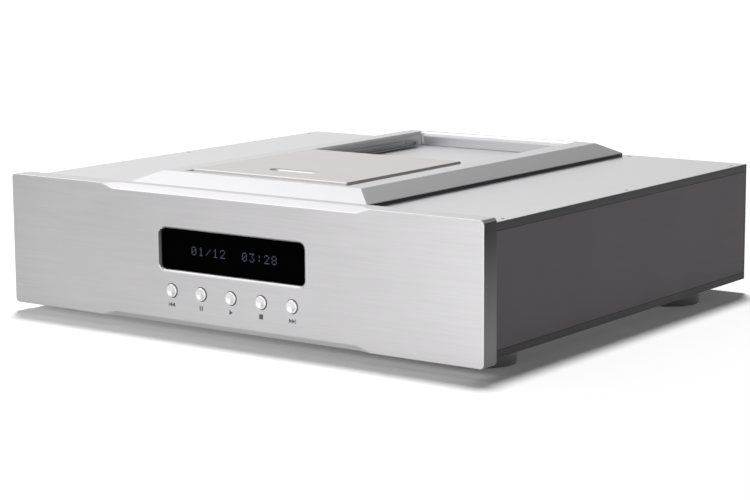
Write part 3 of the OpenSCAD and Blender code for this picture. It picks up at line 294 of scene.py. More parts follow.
def brushed(name, tone, roughness, grain, contrast=0.12, cloud=0.04, shading_ramp=None):
    """Brushed and anodised aluminium, with faint clouding; shading_ramp gives two heights and the shares of
    the tone there, painted shade and light ramped by height between them.
    """
    material, tree, shader = blank_material(name)
    place = object_place(tree)
    lines = noise(tree, stretched(tree, place, grain), 1.0, 4.0, 0.7)
    clouds = noise(tree, place, 18.0, 3.0)
    value = math_node(tree, "MULTIPLY", swing(tree, lines, contrast, 1.0), swing(tree, clouds, cloud, 1.0))
    # Painted shade and light: the tone ramps with height from one share to the other
    if shading_ramp:
        height = node(tree, "ShaderNodeSeparateXYZ", {"Vector": place}).outputs["Z"]
        value = math_node(tree, "MULTIPLY", value, ramp(tree, height, *shading_ramp))
    toned(tree, shader, tone, value)
    shader.inputs["Metallic"].default_value = 1.0
    rough = math_node(tree, "ADD", swing(tree, lines, 0.08, roughness), swing(tree, clouds, 0.05, 0.0))
    tree.links.new(rough, shader.inputs["Roughness"])
    bumped(tree, shader, lines, 0.000005)
    return material


def blasted(name, tone, roughness, metallic=1.0, scale=2600.0, contrast=0.06, depth=0.000012, gloss=0.5):
    """Bead-blasted or moulded surface with a fine even grain."""
    material, tree, shader = blank_material(name)
    place = object_place(tree)
    grain = noise(tree, place, scale, 2.0)
    clouds = noise(tree, place, 22.0, 3.0)
    value = math_node(tree, "MULTIPLY", swing(tree, grain, contrast, 1.0), swing(tree, clouds, 0.04, 1.0))
    toned(tree, shader, tone, value)
    shader.inputs["Metallic"].default_value = metallic
    shader.inputs["Specular IOR Level"].default_value = gloss
    tree.links.new(swing(tree, clouds, 0.06, roughness), shader.inputs["Roughness"])
    bumped(tree, shader, grain, depth)
    return material


def turned(name, tone, roughness, centre, along, pitch, depth=0.000006, wrap=0.0, metallic=1.0):
    """Surface turned on a lathe, with rings about a line; wrap repeats the centre along X."""
    material, tree, shader = blank_material(name)
    place = object_place(tree)
    if wrap:
        parts = node(tree, "ShaderNodeSeparateXYZ", {"Vector": place})
        near = math_node(tree, "WRAP", parts.outputs["X"], wrap / 2, -wrap / 2)
        links = {"X": near, "Y": parts.outputs["Y"], "Z": parts.outputs["Z"]}
        place = node(tree, "ShaderNodeCombineXYZ", links).outputs["Vector"]
    far = radius_about(tree, place, centre, along)
    steps = math_node(tree, "MULTIPLY", far, 1.0 / pitch)
    rings = node(tree, "ShaderNodeTexNoise", {"W": steps}, {"Scale": 1.0, "Detail": 3.0},
                 noise_dimensions="1D").outputs["Fac"]
    toned(tree, shader, tone, swing(tree, rings, 0.10, 1.0))
    shader.inputs["Metallic"].default_value = metallic
    tree.links.new(swing(tree, rings, 0.08, roughness), shader.inputs["Roughness"])
    bumped(tree, shader, rings, depth)
    return material


def plated(name, tone, roughness):
    """Plated or polished metal with faint rub marks."""
    material, tree, shader = blank_material(name)
    place = object_place(tree)
    rubs = noise(tree, stretched(tree, place, (160.0, 900.0, 160.0)), 1.0, 4.0)
    toned(tree, shader, tone, swing(tree, rubs, 0.08, 1.0))
    shader.inputs["Metallic"].default_value = 1.0
    tree.links.new(swing(tree, rubs, 0.08, roughness), shader.inputs["Roughness"])
    bumped(tree, shader, rubs, 0.000003)
    return material


def polished_plastic(name, tone, roughness, gloss):
    """Polished plastic with a trace of dust in its gloss."""
    material, tree, shader = blank_material(name)
    dust = noise(tree, object_place(tree), 700.0, 4.0)
    toned(tree, shader, tone, swing(tree, dust, 0.25, 1.0))
    shader.inputs["Specular IOR Level"].default_value = gloss
    tree.links.new(swing(tree, dust, 0.05, roughness), shader.inputs["Roughness"])
    return material


def lit_dots(name, tone, strength):
    """Phosphor of the readout, a little uneven from dot to dot."""
    material, tree, shader = blank_material(name)
    uneven = noise(tree, object_place(tree), 900.0, 1.0)
    shader.inputs["Base Color"].default_value = (0.01, 0.012, 0.016, 1.0)
    shader.inputs["Roughness"].default_value = 0.5
    shader.inputs["Emission Color"].default_value = (*tone, 1.0)
    tree.links.new(swing(tree, uneven, 0.35 * strength, strength), shader.inputs["Emission Strength"])
    return material


def circuit_board(name, tone):
    """Solder mask with paler copper runs under it."""
    material, tree, shader = blank_material(name)
    place = object_place(tree)
    cells = node(tree, "ShaderNodeTexBrick", {"Vector": place},
                 {"Scale": 60.0, "Mortar Size": 0.03, "Color1": (*tone, 1.0),
                  "Color2": (tone[0] * 0.8, tone[1] * 0.85, tone[2] * 0.8, 1.0),
                  "Mortar": (tone[0] * 2.0, tone[1] * 1.7, tone[2] * 1.6, 1.0)})
    tree.links.new(cells.outputs["Color"], shader.inputs["Base Color"])
    tree.links.new(swing(tree, noise(tree, place, 300.0), 0.1, 0.4), shader.inputs["Roughness"])
    bumped(tree, shader, cells.outputs["Fac"], 0.00002)
    return material


def taped(name, tone, centre):
    """Tape wound round a ring, one band every few degrees."""
    material, tree, shader = blank_material(name)
    place = object_place(tree)
    moved = vector_node(tree, "SUBTRACT", place, centre)
    parts = node(tree, "ShaderNodeSeparateXYZ", {"Vector": moved})
    angle = math_node(tree, "ARCTAN2", parts.outputs["Y"], parts.outputs["X"])
    band = math_node(tree, "FRACT", math_node(tree, "MULTIPLY", angle, 9.0), 0.0)
    toned(tree, shader, tone, swing(tree, band, 0.25, 1.0))
    tree.links.new(swing(tree, noise(tree, place, 500.0), 0.1, 0.42), shader.inputs["Roughness"])
    bumped(tree, shader, band, 0.0003)
    return material


def clear_glass(name, tone):
    """Coated lens."""
    material, tree, shader = blank_material(name)
    sheen = noise(tree, object_place(tree), 400.0, 1.0)
    toned(tree, shader, tone, swing(tree, sheen, 0.1, 1.0))
    shader.inputs["Roughness"].default_value = 0.04
    shader.inputs["IOR"].default_value = 1.55
    shader.inputs["Transmission Weight"].default_value = 0.75
    return material


def middle_of(node_name):
    low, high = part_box(node_name)
    return (low + high) / 2


def disc_axis():
    return tuple(middle_of("turntable"))


def button_pitch():
    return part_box("stop_button")[0].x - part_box("play_button")[0].x


ACROSS_Y = (0.0, 1.0, 0.0)
ACROSS_Z = (0.0, 0.0, 1.0)
FINISHES = {
    "front_silver": lambda n, s: brushed(n, s.case.panel_colour, s.case.roughness, BRUSHED_ALONG_X),
    "plate_silver": lambda n, s: brushed(n, s.case.plate_colour, s.case.roughness + 0.04, BRUSHED_ALONG_X,
                                         0.08, 0.05),
    "surround_silver": lambda n, s: brushed(n, s.case.surround_colour, s.case.roughness, BRUSHED_ALONG_Y,
                                            0.06),
    "lid_silver": lambda n, s: brushed(n, s.case.lid_colour, s.case.roughness - 0.04, BRUSHED_ALONG_X, 0.12),
    # Painted shade: dark grey sides, rear and bottom
    "side_grey": lambda n, s: brushed(n, s.case.side_shade_colour, s.case.roughness + 0.06, BRUSHED_ALONG_Y, 0.06),
    # Painted shade: dark grey panel ends, painted lighter toward the bottom and darker toward the top
    "end_grey": lambda n, s: brushed(n, s.case.end_shade_colour, s.case.roughness, BRUSHED_ALONG_Z, 0.06,
                                     shading_ramp=(10 * MM, 100 * MM, 1.85, 0.29)),
    # Painted shade: dark grey upright foot of the surround
    "base_grey": lambda n, s: brushed(n, s.case.base_shade_colour, s.case.roughness, BRUSHED_ALONG_Z, 0.06),
    # Painted shade: near-black edges of the plates
    "edge_grey": lambda n, s: brushed(n, s.case.edge_shade_colour, s.case.roughness, BRUSHED_ALONG_Y, 0.06),
    "seam_dark": lambda n, s: blasted(n, (0.012, 0.012, 0.012), 0.7, 0.0),
    "reveal_grey": lambda n, s: blasted(n, (0.30, 0.30, 0.31), 0.5, 0.0),
    "button_silver": lambda n, s: turned(n, s.case.button_colour, 0.26, tuple(middle_of("play_button")),
                                         ACROSS_Y, 0.00022, wrap=button_pitch()),
    "mark_ink": lambda n, s: blasted(n, s.case.ink_colour, 0.55, 0.0),
    "window_black": lambda n, s: polished_plastic(n, (0.0008, 0.0008, 0.001), 0.12, 0.006),
    "glow": lambda n, s: lit_dots(n, s.readout.glow_colour, s.readout.glow_strength),
    "display_dark": lambda n, s: polished_plastic(n, (0.03, 0.035, 0.045), 0.2, 0.5),
    "board_green": lambda n, s: circuit_board(n, (0.03, 0.13, 0.06)),
    "part_black": lambda n, s: blasted(n, (0.035, 0.035, 0.04), 0.48, 0.0, 2200.0, 0.1, 0.00003),
    "rail_grey": lambda n, s: brushed(n, (0.40, 0.40, 0.41), 0.36, BRUSHED_ALONG_Y),
    "runner_plastic": lambda n, s: blasted(n, (0.10, 0.10, 0.10), 0.5, 0.0),
    "well_dark": lambda n, s: turned(n, s.drive.well_colour, 0.34, disc_axis(), ACROSS_Z, 0.0006),
    "deck_steel": lambda n, s: blasted(n, (0.30, 0.31, 0.33), 0.42, 0.8),
    "soft_rubber": lambda n, s: blasted(n, (0.022, 0.022, 0.022), 0.8, 0.0, 1500.0, 0.15, 0.00004),
    "motor_steel": lambda n, s: brushed(n, (0.60, 0.60, 0.61), 0.32, BRUSHED_ALONG_X),
    "rod_steel": lambda n, s: plated(n, (0.76, 0.76, 0.77), 0.14),
    "foot_black": lambda n, s: blasted(n, (0.23, 0.23, 0.236), 0.5, 0.0, gloss=0.15),
    "screw_steel": lambda n, s: plated(n, (0.60, 0.60, 0.61), 0.24),
    "jack_gold": lambda n, s: plated(n, (0.86, 0.63, 0.25), 0.18),
    "jack_nickel": lambda n, s: plated(n, (0.66, 0.65, 0.62), 0.2),
    "jack_white": lambda n, s: blasted(n, (0.75, 0.74, 0.70), 0.4, 0.0),
    "capacitor_blue": lambda n, s: polished_plastic(n, (0.03, 0.05, 0.16), 0.3, 0.5),
    "post_brass": lambda n, s: plated(n, (0.74, 0.57, 0.27), 0.28),
    "transformer_wrap": lambda n, s: taped(n, (0.18, 0.10, 0.05), tuple(middle_of("transformer"))),
    "rocker_black": lambda n, s: blasted(n, (0.02, 0.02, 0.022), 0.3, 0.0, 1800.0, 0.1, 0.00001),
    "gear_ivory": lambda n, s: blasted(n, (0.78, 0.74, 0.62), 0.45, 0.0),
    "pinion_brass": lambda n, s: plated(n, (0.74, 0.57, 0.27), 0.25),
    "lens_glass": lambda n, s: clear_glass(n, (0.55, 0.70, 0.95)),
    "puck_black": lambda n, s: turned(n, s.drive.puck_colour, 0.32, disc_axis(), ACROSS_Z, 0.0004,
                                      metallic=0.7),
    "puck_ring": lambda n, s: turned(n, s.drive.ring_colour, 0.2, disc_axis(), ACROSS_Z, 0.0003),
    "turntable_dark": lambda n, s: turned(n, (0.20, 0.20, 0.21), 0.3, disc_axis(), ACROSS_Z, 0.0004),
}


def finish(slot):
    """The material of a finish, made the first time that it is asked for."""
    name = "finish_" + slot
    return bpy.data.materials.get(name) or FINISHES[slot](name, bpy.context.scene.transport)


# Mesh helpers

def welded(node_name):
    """A copy of a frame node's mesh, with its triangles joined to whole faces."""
    bm = bmesh.new()
    bm.from_mesh(frame["nodes"][node_name].data)
    bmesh.ops.remove_doubles(bm, verts=bm.verts, dist=WELD)
    bmesh.ops.dissolve_limit(bm, angle_limit=FLAT, verts=bm.verts, edges=bm.edges)
    return bm


def islands(node_name):
    """Lowest and highest corner of each solid in a frame node."""
    bm = welded(node_name)
    left = set(bm.verts)
    boxes = []
    while left:
        queue = [left.pop()]
        found = list(queue)
        while queue:
            here = queue.pop()
            fresh = [edge.other_vert(here) for edge in here.link_edges if edge.other_vert(here) in left]
            left.difference_update(fresh)
            queue += fresh
            found += fresh
        corners = [[vert.co[axis] for vert in found] for axis in range(3)]
        boxes.append((Vector(map(min, corners)), Vector(map(max, corners))))
    bm.free()
    return sorted(boxes, key=lambda box: tuple(round(part, 5) for part in box[0]))


def bevel(bm, edges, width, segments):
    bmesh.ops.bevel(bm, geom=edges, offset=width, offset_type="OFFSET", segments=segments, profile=0.5,
                    affect="EDGES", clamp_overlap=False, loop_slide=False)


def soften(bm, width, segments=2, sharp=SHARP):
    """Rounds the edges that turn by more than an angle."""
    edges = [edge for edge in bm.edges if edge.is_manifold and edge.calc_face_angle() > sharp]
    bevel(bm, edges, width, segments)


def lathe(bm, profile, place, steps=64):
    """Adds a turned solid from (radius, height) points, with its axis along place's Z."""
    rings = []
    for radius, height in profile:
        turns = [2 * math.pi * k / steps for k in range(steps)] if radius > WELD else [0.0]
        points = [(radius * math.cos(turn), radius * math.sin(turn), height) for turn in turns]
        rings.append([bm.verts.new(place @ Vector(point)) for point in points])
    faces = []
    for low, high in zip(rings, rings[1:]):
        for k in range(steps):
            after = k + 1
            ring = [low[k % len(low)], low[after % len(low)], high[after % len(high)], high[k % len(high)]]
            corners = list(dict.fromkeys(ring))
            if len(corners) > 2:
                faces.append(bm.faces.new(corners))
    bmesh.ops.recalc_face_normals(bm, faces=faces)
    return faces


def plate(bm, outline, depth, place):
    """Adds a flat plate from a closed outline, with its thickness along place's Z."""
    low = [bm.verts.new(place @ Vector((x, y, 0))) for x, y in outline]
    high = [bm.verts.new(place @ Vector((x, y, depth))) for x, y in outline]
    faces = [bm.faces.new(low), bm.faces.new(high)]
    for k in range(len(outline)):
        after = (k + 1) % len(outline)
        faces.append(bm.faces.new((low[k], low[after], high[after], high[k])))
    bmesh.ops.recalc_face_normals(bm, faces=faces)


def hoop(bm, inner, outer, bottom, top, place, steps):
    """Adds a square-cut ring, with its axis along place's Z."""
    ring = [(inner, bottom), (outer, bottom), (outer, top), (inner, top)]
    lathe(bm, ring + ring[:1], place, steps)
    bmesh.ops.remove_doubles(bm, verts=bm.verts, dist=WELD)


def carry(mesh):
    """An object that holds a mesh while a modifier works on it."""
    carrier = bpy.data.objects.new("carrier", mesh)
    bpy.context.scene.collection.objects.link(carrier)
    return carrier


def unload(carrier):
    """The plain mesh that a carrier's modifier leaves; the carrier goes."""
    graph = bpy.context.evaluated_depsgraph_get()
    mesh = bpy.data.meshes.new_from_object(carrier.evaluated_get(graph), preserve_all_data_layers=True,
                                           depsgraph=graph)
    bpy.data.objects.remove(carrier)
    return mesh


def settle(mesh):
    """Smooth shading that keeps flat faces flat, as a plain mesh."""
    mesh.shade_smooth()
    mesh.set_sharp_from_angle(angle=SMOOTH)
    carrier = carry(mesh)
    carrier.modifiers.new("weighted", "WEIGHTED_NORMAL").keep_sharp = True
    settled = unload(carrier)
    bpy.data.meshes.remove(mesh)
    return settled


def add_piece(name, mesh, body, slot=None, replaced=()):
    """Puts a finished mesh into the scene, on its body."""
    mesh.name = name
    piece = bpy.data.objects.new(name, mesh)
    bpy.context.scene.collection.objects.link(piece)
    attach(piece, body)
    if replaced:
        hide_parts(*replaced)
    return piece


def mesh_from(bm, name, slots):
    """A bmesh as a mesh with the finishes of its slots."""
    mesh = bpy.data.meshes.new(name)
    bm.to_mesh(mesh)
    bm.free()
    for slot in slots:
        mesh.materials.append(finish(slot))
    return mesh


def piece_from(bm, name, slots, body, replaced=()):
    """Finishes a bmesh as a piece, with the finishes of its slots."""
    return add_piece(name, settle(mesh_from(bm, name, slots)), body, slots[0], replaced)


def dress(slot, *nodes):
    """Gives frame nodes whose shape is right their finish."""
    for name in nodes:
        node_object = frame["nodes"][name]
        node_object.data.materials.clear()
        node_object.data.materials.append(finish(slot))


def softened(node_name, body, slots, width, segments=2, paint=None):
    """A frame node's shape with rounded edges; paint gives a face's material index."""
    bm = welded(node_name)
    soften(bm, width, segments)
    if paint:
        bm.normal_update()
        for face in bm.faces:
            face.material_index = paint(face)
    return piece_from(bm, node_name + "_finished", slots, body, (node_name,))


def painted(node_name, body, slots, choose):
    """A frame node's shape in several finishes, chosen by place from its rear middle."""
    low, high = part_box(node_name)
    middle = Vector(((low.x + high.x) / 2, high.y, (low.z + high.z) / 2))
    bm = bmesh.new()
    bm.from_mesh(frame["nodes"][node_name].data)
    bmesh.ops.remove_doubles(bm, verts=bm.verts, dist=WELD)
    for face in bm.faces:
        face.material_index = choose(face.calc_center_median() - middle)
    return piece_from(bm, node_name + "_finished", slots, body, (node_name,))


# Geometry Nodes helpers

def new_tree(name, inputs):
    """An empty geometry tree with named inputs; returns it with its two ends."""
    tree = bpy.data.node_groups.new(name, "GeometryNodeTree")
    tree.interface.new_socket("Geometry", in_out="INPUT", socket_type="NodeSocketGeometry")
    for key, kind in inputs.items():
        tree.interface.new_socket(key, in_out="INPUT", socket_type=kind)
    tree.interface.new_socket("Geometry", in_out="OUTPUT", socket_type="NodeSocketGeometry")
    return tree, tree.nodes.new("NodeGroupInput"), tree.nodes.new("NodeGroupOutput")


def close_tree(tree, start, end, instances):
    """Ends a tree by turning its instances into a plain mesh with a material."""
    real = node(tree, "GeometryNodeRealizeInstances", {"Geometry": instances})
    coated = node(tree, "GeometryNodeSetMaterial",
                  {"Geometry": real.outputs["Geometry"], "Material": start.outputs["Material"]})
    tree.links.new(coated.outputs["Geometry"], end.inputs["Geometry"])


def grown(tree, points, inputs, facing=None):
    """Runs a tree on loose points and returns the plain mesh that comes out."""
    cloud = bpy.data.meshes.new("points")
    cloud.from_pydata([tuple(point) for point in points], [], [])
    if facing:
        stored = cloud.attributes.new("facing", "FLOAT_VECTOR", "POINT")
        stored.data.foreach_set("vector", [part for vector in facing for part in vector])
    carrier = carry(cloud)
    modifier = carrier.modifiers.new("grow", "NODES")
    modifier.node_group = tree
    for item in tree.interface.items_tree:
        if item.in_out == "INPUT" and item.name in inputs:
            modifier[item.identifier] = inputs[item.name]
    return unload(carrier)


def facing_turn(tree, axis):
    """Rotation that turns an axis to the direction stored on each point."""
    stored = node(tree, "GeometryNodeInputNamedAttribute", values={"Name": "facing"},
                  data_type="FLOAT_VECTOR")
    aim = stored.outputs["Attribute"]
    return node(tree, "FunctionNodeAlignRotationToVector", {"Vector": aim}, axis=axis).outputs["Rotation"]


def dot_tree():
    """Small square dots, one on each point."""
    inputs = {"Size": "NodeSocketVector", "Material": "NodeSocketMaterial"}
    tree, start, end = new_tree("readout_dots", inputs)
    dot = node(tree, "GeometryNodeMeshCube", {"Size": start.outputs["Size"]})
    placed = node(tree, "GeometryNodeInstanceOnPoints",
                  {"Points": start.outputs["Geometry"], "Instance": dot.outputs["Mesh"]})
    close_tree(tree, start, end, placed.outputs["Instances"])
    return tree


def screw_tree():
    """Countersunk screws with a six-sided socket, each turned to face its point's direction."""
    names = ("Head radius", "Head height", "Shank radius", "Length", "Socket radius", "Socket depth")
    sockets = {name: "NodeSocketFloat" for name in names}
    tree, start, end = new_tree("countersunk_screws", {**sockets, "Material": "NodeSocketMaterial"})

    def lowered(mesh, height):
        down = node(tree, "ShaderNodeCombineXYZ", {"Z": height})
        return node(tree, "GeometryNodeTransform",
                    {"Geometry": mesh, "Translation": down.outputs["Vector"]}).outputs["Geometry"]

    head_height = start.outputs["Head height"]
    under_head = math_node(tree, "MULTIPLY", head_height, -1.0)
    head = node(tree, "GeometryNodeMeshCone",
                {"Radius Top": start.outputs["Head radius"], "Radius Bottom": start.outputs["Shank radius"],
                 "Depth": head_height}, {"Vertices": 40})
    socket_height = math_node(tree, "MULTIPLY", start.outputs["Socket depth"], 2.0)
    socket = node(tree, "GeometryNodeMeshCylinder",
                  {"Radius": start.outputs["Socket radius"], "Depth": socket_height}, {"Vertices": 6})
    drilled = node(tree, "GeometryNodeMeshBoolean",
                   {"Mesh 1": lowered(head.outputs["Mesh"], under_head), "Mesh 2": socket.outputs["Mesh"]},
                   operation="DIFFERENCE")
    shank_length = math_node(tree, "SUBTRACT", start.outputs["Length"], head_height)
    shank = node(tree, "GeometryNodeMeshCylinder",
                 {"Radius": start.outputs["Shank radius"], "Depth": shank_length}, {"Vertices": 24})
    middle = math_node(tree, "MULTIPLY_ADD", shank_length, -0.5, under_head)
    whole = node(tree, "GeometryNodeJoinGeometry", {"Geometry": drilled.outputs["Mesh"]})
    tree.links.new(lowered(shank.outputs["Mesh"], middle), whole.inputs["Geometry"])
    placed = node(tree, "GeometryNodeInstanceOnPoints",
                  {"Points": start.outputs["Geometry"], "Instance": whole.outputs["Geometry"],
                   "Rotation": facing_turn(tree, "Z")})
    close_tree(tree, start, end, placed.outputs["Instances"])
    return tree


def rib_tree():
    """Upright ribs, each turned to face its point's direction."""
    inputs = {"Size": "NodeSocketVector", "Material": "NodeSocketMaterial"}
    tree, start, end = new_tree("grip_ribs", inputs)
    rib = node(tree, "GeometryNodeMeshCube", {"Size": start.outputs["Size"]})
    placed = node(tree, "GeometryNodeInstanceOnPoints",
                  {"Points": start.outputs["Geometry"], "Instance": rib.outputs["Mesh"],
                   "Rotation": facing_turn(tree, "X")})
    close_tree(tree, start, end, placed.outputs["Instances"])
    return tree


# Operators

class TRANSPORT_OT_front_panel(bpy.types.Operator):
    """Front panel with a bright chamfer round its window"""
    bl_idname = "transport.front_panel"
    bl_label = "Front panel"

    def execute(self, context):
        look = context.scene.transport.case
        bm = welded("front_panel")
        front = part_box("front_panel")[0].y
        low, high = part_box("display_window")

        def on_window_rim(point):
            inside = low.x < point.x < high.x and low.z < point.z < high.z
            return inside and abs(point.y - front) < 10 * WELD

        rim = [edge for edge in bm.edges if all(on_window_rim(vert.co) for vert in edge.verts)
               and edge.calc_face_angle() > SHARP]
        bevel(bm, rim, look.window_chamfer, 1)
        soften(bm, look.edge_width)
        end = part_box("front_panel")[1].x - 3 * MM
        bm.normal_update()
        for face in bm.faces:
            point = face.calc_center_median()
            flank = face.normal
            in_window = low.x < point.x < high.x and low.z < point.z < high.z
            # Painted shade: the window cheek that faces right and the panel's ends take the dark grey end
            # finish; the cheek that faces left stays silver
            at_cheek = in_window and flank.x > 0.5
            at_end = abs(point.x) > end and abs(flank.x) > 0.35 and flank.y > -UPRIGHT and flank.z < UPRIGHT
            in_reveal = in_window and abs(flank.y) < UPRIGHT
            face.material_index = 1 if at_end or at_cheek else 2 * int(in_reveal)
        slots = ["front_silver", "end_grey", "reveal_grey"]
        piece_from(bm, "front_panel_finished", slots, "chassis", ("front_panel",))
        return {"FINISHED"}


class TRANSPORT_OT_display(bpy.types.Operator):
    """Smoked window and the lit digits seen through it"""
    bl_idname = "transport.display"
    bl_label = "Display"

    def execute(self, context):
        look = context.scene.transport.readout
        softened("display_window", "chassis", ["window_black"], 0.3 * MM)
        dress("display_dark", "display_module")
        low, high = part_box("display_window")
        middle = (low + high) / 2
        depth = 0.04 * MM
        points = []
        for cell, sign in enumerate(look.digits):
            left = (cell - (len(look.digits) - 1) / 2) * look.cell_pitch
            for row, dots in enumerate(SIGNS[sign]):
                for column, dot in enumerate(dots):
                    if dot != "#":
                        continue
                    x = middle.x + left + (column - (DOT_COLUMNS - 1) / 2) * look.dot_pitch
                    z = middle.z + ((DOT_ROWS - 1) / 2 - row) * look.dot_pitch
                    points.append((x, low.y, z))
        size = (look.dot_size, depth, look.dot_size)
        mesh = grown(dot_tree(), points, {"Size": size, "Material": finish("glow")})
        add_piece("readout_dots", mesh, "chassis")
        return {"FINISHED"}


class TRANSPORT_OT_buttons(bpy.types.Operator):
    """Turned button caps with a shallow dish, and the marks under them"""
    bl_idname = "transport.buttons"
    bl_label = "Buttons"

    def execute(self, context):
        for action in ("prev", "pause", "play", "stop", "next"):
            self.turn_button(action)
        self.draw_marks()
        return {"FINISHED"}

    def turn_button(self, action):
        low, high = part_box(action + "_button")
        flange_over = 1.4 * MM
        flange_radius = (high.x - low.x) / 2
        radius = flange_radius - flange_over
        panel_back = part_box("front_panel")[1].y
        flange = high.y - panel_back
        stem = 1.0 * MM
        stem_radius = 2.0 * MM
        dish = 0.7 * MM
        edge = 0.8 * MM
        back = high.y - low.y
        shoulder = -back + flange - 0.3 * MM
        profile = [(0, -back), (stem_radius, -back), (stem_radius, stem - back),
                   (flange_radius, stem - back), (flange_radius, shoulder), (radius, shoulder)]
        for k in range(5):
            turn = math.pi / 2 * k / 4
            profile.append((radius - edge * (1 - math.cos(turn)), -edge * (1 - math.sin(turn))))
        inner = radius - 1.1 * edge
        for k in range(1, 9):
            r = inner * (1 - k / 8)
            profile.append((r, -dish * (1 - (r / inner) ** 1.4)))
        place = Matrix.Translation(((low.x + high.x) / 2, low.y, (low.z + high.z) / 2))
        bm = bmesh.new()
        lathe(bm, profile, place @ Matrix.Rotation(math.pi / 2, 4, "X"), 72)
        name = action + "_button"
        piece_from(bm, name + "_finished", ["button_silver"], action, (name,))

    def draw_marks(self):
        half = 1.8 * MM
        bar = 0.6 * MM

        def block(left, right):
            return [(left, -half), (right, -half), (right, half), (left, half)]

        def arrow(left, right):
            return [(left, -half), (right, 0), (left, half)]

        skip = [arrow(-2.7 * MM, 0), arrow(0, 2.7 * MM), block(2.7 * MM, 2.7 * MM + bar)]
        marks = {
            "prev": [[(-x, y) for x, y in outline] for outline in skip],
            "pause": [block(-1.5 * MM, -0.5 * MM), block(0.5 * MM, 1.5 * MM)],
            "play": [arrow(-1.4 * MM, 1.8 * MM)],
            "stop": [block(-half, half)],
            "next": skip,
        }
        below = 10.4 * MM
        proud = 0.03 * MM
        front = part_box("front_panel")[0].y
        bm = bmesh.new()
        for action, outlines in marks.items():
            middle = middle_of(action + "_button")
            centre = (middle.x, front + proud / 2, middle.z - below)
            place = Matrix.Translation(centre) @ Matrix.Rotation(math.pi / 2, 4, "X")
            for outline in outlines:
                plate(bm, outline, proud, place)
        add_piece("button_marks", mesh_from(bm, "button_marks", ["mark_ink"]), "chassis")


class TRANSPORT_OT_case(bpy.types.Operator):
    """Top, bottom, side and rear panels with softened edges"""
    bl_idname = "transport.case"
    bl_label = "Case"

    def execute(self, context):
        seam = context.scene.transport.case.seam_width
        seams = (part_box("top_plate")[0].z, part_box("bottom_plate")[1].z)

        # Seam chamfers take the dark seam finish; the plates' upright and slanting faces take painted shade,
        # the near-black edge finish
        def choose(face):
            height = face.calc_center_median().z
            at_seam = any(abs(height - level) < seam for level in seams)
            if at_seam and UPRIGHT < abs(face.normal.z) < LEVEL:
                return 2
            return int(-LEVEL < face.normal.z < UPRIGHT)

        # Painted shade: the sides, the rear and the bottom take the dark grey side finish
        looks = {"top_plate": ("plate_silver", "edge_grey"), "bottom_plate": ("side_grey", "edge_grey"),
                 "left_side": ("side_grey", "side_grey"), "right_side": ("side_grey", "side_grey"),
                 "rear_panel": ("side_grey", "side_grey")}
        for name, slots in looks.items():
            softened(name, "chassis", [*slots, "seam_dark"], seam, 1, choose)
        return {"FINISHED"}


class TRANSPORT_OT_lid(bpy.types.Operator):
    """Sliding lid, its surround, and the rails it runs in"""
    bl_idname = "transport.lid"
    bl_label = "Lid and surround"

    def execute(self, context):
        look = context.scene.transport.case
        self.finish_surround(look)
        self.finish_lid(look)
        for side in ("left", "right"):
            softened("rail_" + side, "chassis", ["rail_grey"], 0.2 * MM)
            dress("runner_plastic", "runner_" + side)
        dress("screw_steel", "rail_screws", "runner_screws")
        return {"FINISHED"}

    def finish_surround(self, look):
        bm = welded("lid_surround")
        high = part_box("lid_surround")[1]
        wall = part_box("rail_right")[1].x
        rear = max(vert.co.y for vert in bm.verts if abs(abs(vert.co.x) - wall) < 10 * WELD)
        near = 3 * MM

        def in_corner(point):
            return abs(abs(point.x) - wall) < near and abs(point.y - rear) < near

        bevel(bm, [edge for edge in bm.edges if all(in_corner(vert.co) for vert in edge.verts)],
              look.corner_radius, 8)
        soften(bm, 0.3 * MM, sharp=math.radians(15))
        bm.normal_update()
        # Painted shade: the surround's upright outer faces take the dark grey foot finish
        for face in bm.faces:
            point = face.calc_center_median()
            outside = abs(point.x) > high.x - WELD or point.y > high.y - WELD
            face.material_index = int(outside and abs(face.normal.z) < 0.1)
        slots = ["surround_silver", "base_grey"]
        piece_from(bm, "lid_surround_finished", slots, "chassis", ("lid_surround",))

    def finish_lid(self, look):
        bm = welded("sliding_lid")
        low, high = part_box("sliding_lid")
        border = 5 * MM

        def inside(point):
            return low.x + border < point.x < high.x - border and low.y + border < point.y < high.y - border

        def top_edges(wanted):
            return [edge for edge in bm.edges if edge.calc_face_angle(0.0) > SHARP and all(
                abs(vert.co.z - high.z) < 10 * WELD and inside(vert.co) == wanted for vert in edge.verts)]

        slot = top_edges(True)
        middle = sum(vert.co.y for edge in slot for vert in edge.verts) / (2 * len(slot))
        rear = [edge for edge in slot if all(vert.co.y > middle for vert in edge.verts)]
        bevel(bm, rear, look.slot_chamfer, 1)
        bevel(bm, top_edges(False), look.lid_edge, 3)
        piece_from(bm, "sliding_lid_finished", ["lid_silver"], "lid", ("sliding_lid",))


class TRANSPORT_OT_screws(bpy.types.Operator):
    """Countersunk screws of the case"""
    bl_idname = "transport.screws"
    bl_label = "Case screws"

    def execute(self, context):
        inputs = {"Head radius": 2.85 * MM, "Head height": 1.7 * MM, "Shank radius": 1.4 * MM,
                  "Socket radius": 1.5 * MM, "Socket depth": 1.4 * MM, "Material": finish("screw_steel")}
        tree = screw_tree()
        middle = sum(part.z for part in CAD_BOX) / 2
        for name in ("case_screws", "socket_screws"):
            points = []
            facing = []
            for low, high in islands(name):
                upright = high.z - low.z > high.y - low.y
                centre = (low + high) / 2
                if not upright:
                    head, away = Vector((centre.x, high.y, centre.z)), REARWARD
                elif centre.z > middle:
                    head, away = Vector((centre.x, centre.y, high.z)), UP
                else:
                    head, away = Vector((centre.x, centre.y, low.z)), -UP
                points.append(head)
                facing.append(away)
                inputs["Length"] = max(high - low)
            mesh = grown(tree, points, inputs, facing)
            mesh.set_sharp_from_angle(angle=SMOOTH)
            add_piece(name + "_finished", mesh, "chassis", "screw_steel", (name,))
        return {"FINISHED"}


